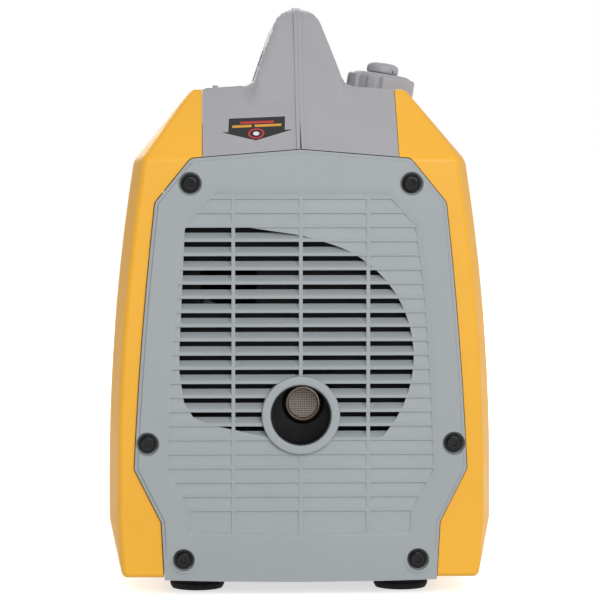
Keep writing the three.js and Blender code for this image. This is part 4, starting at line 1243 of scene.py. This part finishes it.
# ---- Underside ----
class GENERATOR_OT_feet(bpy.types.Operator):
    """Makes the four rubber feet and the base tray"""

    bl_idname = "generator.feet"
    bl_label = "Feet and base"

    def execute(self, context):
        for corner in ("rear_left", "rear_right", "front_left", "front_right"):
            low, high = node_box("foot_" + corner)
            radius = (high.x - low.x) / 2
            top = high.z
            foot = turned(
                [
                    (5, 1.4), (6, 0.4), (radius - 3.5, 0.4), (radius - 2.4, 0), (radius - 1.6, 0.2),
                    (radius - 0.2, 2.6), (radius, 3.4), (radius, 5.0), (radius - 0.7, 5.5), (radius - 0.7, 6.1),
                    (radius, 6.6), (radius, top - 0.9), (radius - 0.8, top), (0, top), (0, 4), (5, 4),
                ],
                80,
            )
            moved(foot, Matrix.Translation(((low.x + high.x) / 2, (low.y + high.y) / 2, 0)))
            finish_piece("rubber_foot_" + corner, foot, "rubber", "foot_" + corner)
        low, high = node_box("bottom_tray")
        tray = block(low.x, high.x, low.y, high.y, low.z, high.z)
        hollow = block(low.x + 3, high.x - 3, low.y + 3, high.y - 3, low.z + 3, high.z + 9)
        slots = [
            prism("z", rounded_box_outline(x - 2, x + 2, y - 30, y + 30, 1.9), low.z - 5, low.z + 9)
            for x in range(-56, 57, 14)
            for y in (-105, 105)
        ]
        tray = cut(tray, hollow, joined(*slots))
        finish_piece("base_tray_moulding", tray, "dark", "bottom_tray", rim=0.8)
        return {"FINISHED"}


# ---- Control end ----
CONSOLE_HALF, CONSOLE_LOW, CONSOLE_HIGH, CONSOLE_CORNER = 90.0, 130.0, 314.0, 8.0
SOCKETS = {"left": (-56.0, 172.0), "right": (4.0, 172.0)}
DC_PLACE, BREAKER_PLACE, EARTH_PLACE = (62.0, 172.0), (62.0, 212.0), (62.0, 143.0)
DIAL_PLACE, ECO_PLACE = (58.0, 262.0), (8.0, 266.0)
LAMPS = ((-62.0, 282.0, "green"), (-44.0, 282.0, "amber"), (-26.0, 282.0, "red"))


def console_outline(grow=0.0):
    return rounded_box_outline(-CONSOLE_HALF, CONSOLE_HALF, CONSOLE_LOW, CONSOLE_HIGH, CONSOLE_CORNER, grow)


def facing_out(x, y, z):
    """Places a body made about Z on the control end, pointing out of it."""
    return along("y", (x, y, z))


class GENERATOR_OT_control_panel(bpy.types.Operator):
    """Makes the grey control end panel and the dark plate that carries the controls"""

    bl_idname = "generator.control_panel"
    bl_label = "Control end panel"

    def execute(self, context):
        sizes = context.scene.generator_sizes
        tray = moved(end_tray(FACE_Y), Matrix.Rotation(math.pi, 4, "Z"))
        frame_ring = softened("y", lambda grow: console_outline(grow + 4), HALF_LENGTH, PLATE_Y + 1, 0.9)
        slots, reach, height = [], 75, 5
        for k in range(6):
            z = 38 + sizes.louvre_pitch * k
            slots.append(prism("y", rounded_box_outline(-reach, reach, z, z + height, 2.4), 200, FAR))
        tray = cut(fused(tray, frame_ring), prism("y", console_outline(), 200, FAR), joined(*slots))
        finish_piece("control_panel_moulding", tray, "grey", "front_panel", rim=0.5)
        plate = prism("y", console_outline(5.5), PLATE_Y - 3.4, PLATE_Y - 0.4)
        holes = [prism("y", circle(*place, 22.9, 64), 200, FAR) for place in SOCKETS.values()]
        for place, radius in ((DC_PLACE, 11.4), (DIAL_PLACE, 6.4), (BREAKER_PLACE, 6.4), (EARTH_PLACE, 3.4)):
            holes.append(prism("y", circle(*place, radius, 40), 200, FAR))
        x, z = ECO_PLACE
        holes.append(prism("y", rounded_box_outline(x - 11.4, x + 11.4, z - 7.4, z + 7.4, 1.5), 200, FAR))
        plate = cut(plate, joined(*holes))
        finish_piece("control_plate_moulding", plate, "dark", "control_plate", rim=0.3)

        face = PLATE_Y - 0.4
        ink = face + 0.12
        x, z = DIAL_PLACE
        marks, dial_edge = [], 23.2
        for k in range(11):
            angle = math.radians(-30 + 24 * k)
            long = 5.5 if k % 5 == 0 else 3.2
            tick = block(dial_edge, dial_edge + long, -0.5, 0.5, 0, 0.12)
            marks.append(moved(tick, facing_out(x, face, z) @ Matrix.Rotation(angle, 4, "Z")))
        for cx, cz in (*SOCKETS.values(), DC_PLACE):
            wide = 30 if cx != DC_PLACE[0] else 17
            marks.append(block(cx - wide * 0.8, cx + wide * 0.8, face, ink, cz + wide + 3.0, cz + wide + 3.8))
        for level in (270.0, 293.3):
            marks.append(block(-74, -14, face, ink, level, level + 0.7))
        x, z = ECO_PLACE
        marks.append(block(x - 11, x + 11, face, ink, z + 12.0, z + 12.8))
        finish_piece("control_plate_lines", joined(*marks), "ink_white")

        for lx, lz, colour in LAMPS:
            lens = turned([(0, -4), (3.2, -4), (3.2, 0.4), (2.9, 1.4), (2.2, 2.2), (1.2, 2.7), (0, 2.9)], 48)
            moved(lens, facing_out(lx, face + 0.1, lz))
            finish_piece("lamp_lens_" + colour, lens, "lamp_" + colour, smooth=50)
            bezel = turned([(3.4, 0), (5.4, 0), (5.4, 0.9), (4.9, 1.4), (3.9, 1.4), (3.4, 0.9)], 48)
            moved(bezel, facing_out(lx, face + 0.05, lz))
            finish_piece("lamp_bezel_" + colour, bezel, "grey", smooth=50)
        return {"FINISHED"}


class GENERATOR_OT_sockets(bpy.types.Operator):
    """Makes the two mains sockets with sprung lids, and the low-voltage socket"""

    bl_idname = "generator.sockets"
    bl_label = "Sockets and lids"

    def execute(self, context):
        for side, (x, z) in SOCKETS.items():
            flange_edges = (x - 26, x + 26, z - 26, z + 26, 4)
            flange = softened(
                "y", lambda grow: rounded_box_outline(*flange_edges, grow), PLATE_Y + 4, PLATE_Y, 0.7
            )
            barrel = prism("y", circle(x, z, 22.5, 72), PLATE_Y - 16, PLATE_Y + 1)
            recess = prism("y", circle(x, z, 20, 72), PLATE_Y - 13, PLATE_Y + 10)
            pins = [prism("y", circle(x + dx, z, 2.4, 28), PLATE_Y - 20, PLATE_Y) for dx in (-9.5, 9.5)]
            body = cut(fused(flange, barrel), recess, joined(*pins))
            finish_piece("mains_socket_" + side, body, "dark", "ac_socket_" + side, rim=0.4)
            clips = []
            for level in (z - 19, z + 19):
                clips.append(block(x - 2, x + 2, PLATE_Y - 12.9, PLATE_Y - 2, level - 0.4, level + 0.4))
            finish_piece("earth_clips_" + side, joined(*clips), "brass", rim=0.15)

            foot = PLATE_Y + 4.4
            lid_edges = (x - 25, x + 25, z - 25, z + 24, 4)
            plate = softened("y", lambda grow: rounded_box_outline(*lid_edges, grow), foot + 6, foot, 1.4, 4)
            disc = turned([(0, 0), (17, 0), (17, 0.5), (16, 1.1), (0, 1.1)], 72)
            moved(disc, facing_out(x, foot + 5.9, z - 1))
            knuckle = moved(
                turned([(0, -14), (2.7, -14), (3, -13.6), (3, 13.6), (2.7, 14), (0, 14)], 40),
                along("x", (x, foot + 3, z + 26)),
            )
            bridge = block(x - 13.9, x + 13.9, foot + 0.1, foot + 5.8, z + 22, z + 26)
            lip = [(foot + 5, z - 24.2), (foot + 9, z - 24.2), (foot + 9, z - 22.6), (foot + 5.4, z - 19.6)]
            lip = prism("x", lip, x - 8, x + 8)
            lid = fused(plate, disc, knuckle, bridge, lip)
            finish_piece("socket_lid_" + side, lid, "dark", "ac_lid_" + side, rim=0.35)

        x, z = DC_PLACE
        body = turned(
            [
                (8, 0.2), (14.3, 0.2), (15, 0.9), (15, 2.9), (14.2, 3.8), (13, 4.1), (9.6, 4.1), (8.3, 3.6),
                (8, 2.8),
            ],
            72,
        )
        barrel = tube(8, 11, -24, 1)
        floor = rod(9, -24, -21)
        socket = fused(moved(body, facing_out(x, PLATE_Y, z)), moved(barrel, facing_out(x, PLATE_Y, z)))
        socket = fused(socket, moved(floor, facing_out(x, PLATE_Y, z)))
        finish_piece("low_voltage_socket", socket, "dark", "dc_socket")
        pins = [
            block(x + dx - 2.6, x + dx + 2.6, PLATE_Y - 21.5, PLATE_Y - 8, z - 0.5, z + 0.5) for dx in (-3.6, 3.6)
        ]
        finish_piece("low_voltage_pins", joined(*pins), "brass", rim=0.2)
        return {"FINISHED"}


class GENERATOR_OT_controls(bpy.types.Operator):
    """Makes the engine dial, the economy switch, the breaker button and the earth terminal"""

    bl_idname = "generator.controls"
    bl_label = "Controls"

    def execute(self, context):
        x, z = DIAL_PLACE
        skirt = turned([(0, 0.4), (20.3, 0.4), (21, 1.1), (21, 3.6), (20, 4.9), (17.5, 5.4), (0, 5.4)], 96)
        grip = softened("z", lambda grow: rounded_box_outline(-4, 4, -19, 19, 3.6, grow), 13, 4, 1.2, 4)
        waist = turned([(0, 5), (13.5, 5), (12.5, 8.2), (11, 9.4), (0, 9.4)], 72)
        flutes, rim = [], Matrix.Translation((21.6, 0, 0))
        for k in range(36):
            flutes.append(moved(rod(1.1, 0, 8, 12), Matrix.Rotation(math.tau * k / 36, 4, "Z") @ rim))
        knob = fused(cut(skirt, joined(*flutes)), waist, grip)
        stem = rod(6, -14, 1, 40)
        knob = fused(knob, stem)
        moved(knob, facing_out(x, PLATE_Y, z))
        finish_piece("engine_dial_knob", knob, "dark", "engine_dial", rim=0.25)
        pointer = block(x - 0.6, x + 0.6, PLATE_Y + 12.95, PLATE_Y + 13.05, z + 4, z + 17.5)
        finish_piece("engine_dial_pointer", pointer, "ink_white", body="dial")

        x, z = ECO_PLACE
        curve = [(PLATE_Y - 8, z - 5.4), (PLATE_Y + 1.5, z - 6.4), (PLATE_Y + 4.2, z - 5.9)]
        curve += [(PLATE_Y + 4.5 - 2 * math.sin(math.pi * k / 10), z - 5 + 10 * k / 10) for k in range(11)]
        curve += [(PLATE_Y + 4.2, z + 5.9), (PLATE_Y + 1.5, z + 6.4), (PLATE_Y - 8, z + 5.4)]
        rocker = prism("x", curve, x - 11, x + 11)
        finish_piece("economy_rocker", rocker, "dark", "eco_switch", rim=0.5)
        mark = block(x - 6, x + 6, PLATE_Y + 4.35, PLATE_Y + 4.6, z + 4.2, z + 4.9)
        finish_piece("economy_mark", mark, "ink_white", body="eco")
        x, z = BREAKER_PLACE
        button = turned([(0, -12), (6, -12), (6, 4.6), (5.6, 5.5), (4.8, 6), (0, 6)], 56)
        moved(button, facing_out(x, PLATE_Y, z))
        finish_piece("breaker_push_button", button, "rubber", "breaker_button")
        guard = turned([(6.6, 0), (9, 0), (9, 3), (8.4, 3.6), (7.2, 3.6), (6.6, 3)], 56)
        moved(guard, facing_out(x, PLATE_Y - 0.3, z))
        finish_piece("breaker_guard", guard, "dark")

        x, z = EARTH_PLACE
        parts = [
            turned([(0, -14), (3, -14), (3, 14.4), (2.5, 15), (0, 15)], 36),
            prism("z", circle(0, 0, 6, 6), 0.4, 4.2),
            tube(3.1, 7.5, 4.4, 5.3, 48),
            turned([(3.1, 5.5), (5, 5.5), (4.6, 10.5), (3.1, 11)], 40),
        ]
        for sign in (-1, 1):
            wing = [(4.2, 6), (7, 6.4), (10.6, 9.5), (10.9, 11.4), (9.4, 12.2), (4.2, 9.6)]
            parts.append(prism("y", [(sign * a, b) for a, b in wing], -1.4, 1.4))
        terminal = moved(joined(*parts), facing_out(x, PLATE_Y, z))
        finish_piece("earth_terminal", terminal, "brass", "ground_terminal", rim=0.3)
        return {"FINISHED"}


class GENERATOR_OT_starter(bpy.types.Operator):
    """Makes the recoil starter's cup, grip and rope"""

    bl_idname = "generator.starter"
    bl_label = "Starter"

    def execute(self, context):
        floor = HALF_WIDTH - 36
        cup = prism("x", starter_window(0.4), floor, HALF_WIDTH)
        cup = common(cup, housing_block(0.5))
        space = softened("x", lambda grow: starter_window(2.9 - grow), floor + 2.5, 400, 5, 4)
        eyelet = moved(rod(5, -5, 6, 32), along("x", (floor, GRIP_Y, GRIP_Z)))
        cup = cut(cup, space, eyelet)
        finish_piece("starter_cup_moulding", cup, "dark", "starter_cup", rim=0.5)

        back, belly = floor + 10, floor + 25
        under, over = 3.5, 6
        lower = [(-45, -9, 3), (-37, -13, 6), (37, -13, 6), (45, -9, 3)]
        corners = lower + [(-a, -b, r) for a, b, r in lower]

        def grip_outline(grow):
            return grown([(GRIP_Y + a, GRIP_Z + b, r) for a, b, r in corners], grow)

        angles = [math.pi / 2 * k / 5 for k in range(6)]
        sections = [(grip_outline(-under * (1 - math.sin(a))), back + under * (1 - math.cos(a))) for a in angles]
        sections += [(grip_outline(-over * (1 - math.cos(a))), belly + over * math.sin(a)) for a in angles]
        bar = lofted("x", sections)
        nose = turned([(2.6, -6), (6.2, -6), (7.0, -5.2), (9.6, 1.5), (2.6, 1.5)], 56)
        nose = moved(nose, along("x", (back, GRIP_Y, GRIP_Z)))
        bore = moved(rod(2.6, -8, 12, 32), along("x", (back, GRIP_Y, GRIP_Z)))
        groove_radius, bed = 60, 18.8
        grooves = []
        for offset in (-27, -18, 18, 27):
            hoop = tube(groove_radius, 75, -1.1, 1.1, 96)
            hoop = common(hoop, block(-80, 80, -20, 20, -5, 5))
            centre = Matrix.Translation((belly, GRIP_Y + offset, GRIP_Z))
            upright = Matrix.Rotation(math.pi / 2, 4, "X")
            grooves.append(moved(hoop, centre @ upright @ Matrix.Translation((bed - groove_radius, 0, 0))))
        grip = fused(bar, nose)
        grip = cut(grip, bore, joined(*grooves))
        finish_piece("starter_grip_moulding", grip, "rubber", "starter_grip", rim=0.4)

        low, high = node_box("starter_rope")
        rope = bmesh.new()
        bmesh.ops.create_circle(rope, cap_ends=True, segments=20, radius=2.0)
        moved(rope, along("x", (low.x, GRIP_Y, GRIP_Z)))
        steps = 60
        tip = list(rope.faces)
        for _ in range(steps):
            grown_part = bmesh.ops.extrude_face_region(rope, geom=tip)["geom"]
            verts = [v for v in grown_part if isinstance(v, bmesh.types.BMVert)]
            tip = [f for f in grown_part if isinstance(f, bmesh.types.BMFace)]
            bmesh.ops.translate(rope, verts=verts, vec=((high.x - low.x) / steps, 0, 0))
        bmesh.ops.recalc_face_normals(rope, faces=rope.faces)
        piece = finish_piece("braided_starter_rope", rope, "rope", "starter_rope", body=None)
        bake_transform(piece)
        return {"FINISHED"}


class GENERATOR_OT_door_lock(bpy.types.Operator):
    """Makes the service door's quarter-turn lock"""

    bl_idname = "generator.door_lock"
    bl_label = "Door lock"

    def execute(self, context):
        y, z = LOCK_PLACE
        face = side_at(z)
        head = turned([(0, -3.8), (9.4, -3.8), (9.4, -0.9), (8.8, -0.2), (7.8, 0), (0, 0)], 72)
        slot = block(-1.2, 1.2, -7, 7, -1.8, 3)
        shank = rod(4, -12, -3, 40)
        lock = cut(head, slot)
        lock = moved(fused(lock, shank), along("-x", (-face, y, z)))
        finish_piece("service_door_quarter_turn", lock, "dark", "service_door_lock")
        return {"FINISHED"}


# ---- Inner pieces ----
def refined(node):
    """A merged copy of a node's mesh, in millimetres."""
    bm = bmesh.new()
    bm.from_mesh(frame["nodes"][node].data)
    bmesh.ops.scale(bm, vec=(1 / MM, 1 / MM, 1 / MM), verts=bm.verts)
    bmesh.ops.remove_doubles(bm, verts=bm.verts, dist=2e-3)
    return tidy(bm, 0.4)


INNER_PIECES = (
    ("crankcase", "crankcase_casting", "cast", 1.6),
    ("cylinder", "finned_cylinder_casting", "cast", 0.6),
    ("valve_cover", "valve_cover_moulding", "dark", 1.6),
    ("crankshaft", "machined_crankshaft", "bright_steel", 0.8),
    ("spark_plug", "spark_plug_insulator", "ceramic", 0.4),
    ("spark_plug_boot", "spark_plug_rubber_boot", "rubber", 1.2),
    ("carburettor", "carburettor_casting", "cast", 1.0),
    ("air_cleaner_case", "air_cleaner_moulding", "dark", 2.0),
    ("oil_dipstick", "oil_dipstick_knob", "dark", 0.9),
    ("stator", "stator_winding", "copper", 0.8),
    ("rotor_flywheel", "rotor_drum", "black_steel", 1.0),
    ("cooling_fan", "fan_wheel", "dark", 0.5),
    ("fan_shroud", "fan_shroud_moulding", "dark", 0.8),
    ("inverter_module", "inverter_casting", "cast", 0.7),
    ("engine_mount_left", "rubber_mount_left", "rubber", 2.0),
    ("engine_mount_right", "rubber_mount_right", "rubber", 2.0),
    ("fuel_tank_lower", "tank_lower_shell", "tank", 1.6),
    ("fuel_tank_upper", "tank_upper_shell", "tank", 1.6),
    ("recoil_housing", "recoil_casting", "cast", 0.8),
    ("recoil_pulley", "recoil_rope_pulley", "dark", 0.6),
)


class GENERATOR_OT_inner_pieces(bpy.types.Operator):
    """Gives the engine, alternator, tank and inverter their rounded edges and finishes"""

    bl_idname = "generator.inner_pieces"
    bl_label = "Engine and tank"

    def execute(self, context):
        for node, name, finish, rim in INNER_PIECES:
            finish_piece(name, refined(node), finish, node, rim=rim)
        return {"FINISHED"}


# ---- Stage ----
class GENERATOR_OT_stage(bpy.types.Operator):
    """Makes the pale floor, the soft studio lights and the camera"""

    bl_idname = "generator.stage"
    bl_label = "Stage"

    def execute(self, context):
        scene = context.scene
        bm = bmesh.new()
        bmesh.ops.create_grid(bm, x_segments=1, y_segments=1, size=40.0)
        mesh = bpy.data.meshes.new("studio_floor")
        bm.to_mesh(mesh)
        bm.free()
        floor = bpy.data.objects.new("studio_floor", mesh)
        scene.collection.objects.link(floor)
        material, tree, shader, place = surface_tree(
            "pale_studio_paper",
            Roughness=0.9,
            Specular_IOR_Level=0.1,
            Emission_Color=linear("#FFFFFF"),
            Emission_Strength=0.64,
        )
        shaded(tree, shader, noise(tree, place, 400, 2.0), linear("#EFEFEF"), linear("#F4F4F4"))
        mesh.materials.append(material)
        floor.visible_diffuse = False
        floor.visible_shadow = False

        world = bpy.data.worlds.new("studio")
        world.use_nodes = True
        tree = world.node_tree
        tree.nodes.clear()
        soft, white = (
            add(tree, "ShaderNodeBackground", {"Color": linear("#FFFFFF"), "Strength": strength})
            for strength in (0.46, 1.0)
        )
        sight = add(tree, "ShaderNodeLightPath")
        shown = add(tree, "ShaderNodeMixShader", {"Fac": sight.outputs["Is Camera Ray"]})
        tree.links.new(soft.outputs["Background"], shown.inputs[1])
        tree.links.new(white.outputs["Background"], shown.inputs[2])
        add(tree, "ShaderNodeOutputWorld", {"Surface": shown.outputs["Shader"]})
        scene.world = world
        lights = [
            ("key_softbox", (0.75, -2.9, 1.35), (2.0, 1.5), 50.0),
            ("top_softbox", (0.2, -0.2, 3.0), (2.4, 2.4), 9.0),
            ("back_softbox", (-0.6, 2.9, 1.5), (2.2, 1.6), 34.0),
            ("left_softbox", (-2.8, 0.9, 1.2), (1.6, 1.6), 9.0),
            ("right_softbox", (2.8, 0.9, 1.2), (1.6, 1.6), 12.0),
        ]
        for name, place, (wide, tall), power in lights:
            light = bpy.data.lights.new(name, "AREA")
            light.shape = "RECTANGLE"
            light.size, light.size_y = wide, tall
            light.energy = power
            lamp = bpy.data.objects.new(name, light)
            lamp.location = place
            lamp.visible_camera = False
            aim = Vector((0, 0, 0.25)) - Vector(place)
            lamp.rotation_euler = aim.to_track_quat("-Z", "Y").to_euler()
            scene.collection.objects.link(lamp)

        distance, sensor, view_height = 2.4, 36.0, 0.4648
        eye_x, eye_z = -0.075, 0.36
        panel_y = -HALF_LENGTH * MM
        camera_data = bpy.data.cameras.new("camera")
        camera_data.sensor_width = sensor
        camera_data.lens = sensor * distance / view_height
        camera = bpy.data.objects.new("camera", camera_data)
        camera.location = (eye_x, panel_y - distance, eye_z)
        looked_at = Vector((-0.0008, panel_y, 0.2318))
        aim = looked_at - camera.location
        camera.rotation_euler = aim.to_track_quat("-Z", "Y").to_euler()
        scene.collection.objects.link(camera)
        scene.camera = camera
        scene.view_settings.view_transform = "Standard"
        return {"FINISHED"}


# ---- Add-on ----
class GENERATOR_PT_builder(bpy.types.Panel):
    """Lists the steps that build the generator"""

    bl_idname = "GENERATOR_PT_builder"
    bl_label = "Suitcase generator"
    bl_space_type = "VIEW_3D"
    bl_region_type = "UI"
    bl_category = "Generator"

    def draw(self, context):
        layout = self.layout
        for group in (context.scene.generator_sizes, context.scene.generator_colours):
            for name in group.bl_rna.properties.keys():
                if name not in ("rna_type", "name"):
                    layout.prop(group, name)
        for step in STEPS:
            layout.operator(step.bl_idname)


STEPS = (
    GENERATOR_OT_stage,
    GENERATOR_OT_side_covers,
    GENERATOR_OT_exhaust_panel,
    GENERATOR_OT_panel_screws,
    GENERATOR_OT_exhaust,
    GENERATOR_OT_top_cover,
    GENERATOR_OT_arrow_sticker,
    GENERATOR_OT_fuel_cap,
    GENERATOR_OT_plug_lid,
    GENERATOR_OT_feet,
    GENERATOR_OT_control_panel,
    GENERATOR_OT_sockets,
    GENERATOR_OT_controls,
    GENERATOR_OT_starter,
    GENERATOR_OT_door_lock,
    GENERATOR_OT_inner_pieces,
)
CLASSES = (GeneratorSizes, GeneratorColours, *STEPS, GENERATOR_PT_builder)


def register():
    for cls in CLASSES:
        bpy.utils.register_class(cls)
    bpy.types.Scene.generator_sizes = bpy.props.PointerProperty(type=GeneratorSizes)
    bpy.types.Scene.generator_colours = bpy.props.PointerProperty(type=GeneratorColours)


def unregister():
    del bpy.types.Scene.generator_colours
    del bpy.types.Scene.generator_sizes
    for cls in reversed(CLASSES):
        bpy.utils.unregister_class(cls)


def main():
    register()
    make_finishes(bpy.context.scene.generator_colours)
    for step in STEPS:
        group, name = step.bl_idname.split(".")
        getattr(getattr(bpy.ops, group), name)()


if __name__ == "__main__":
    main()
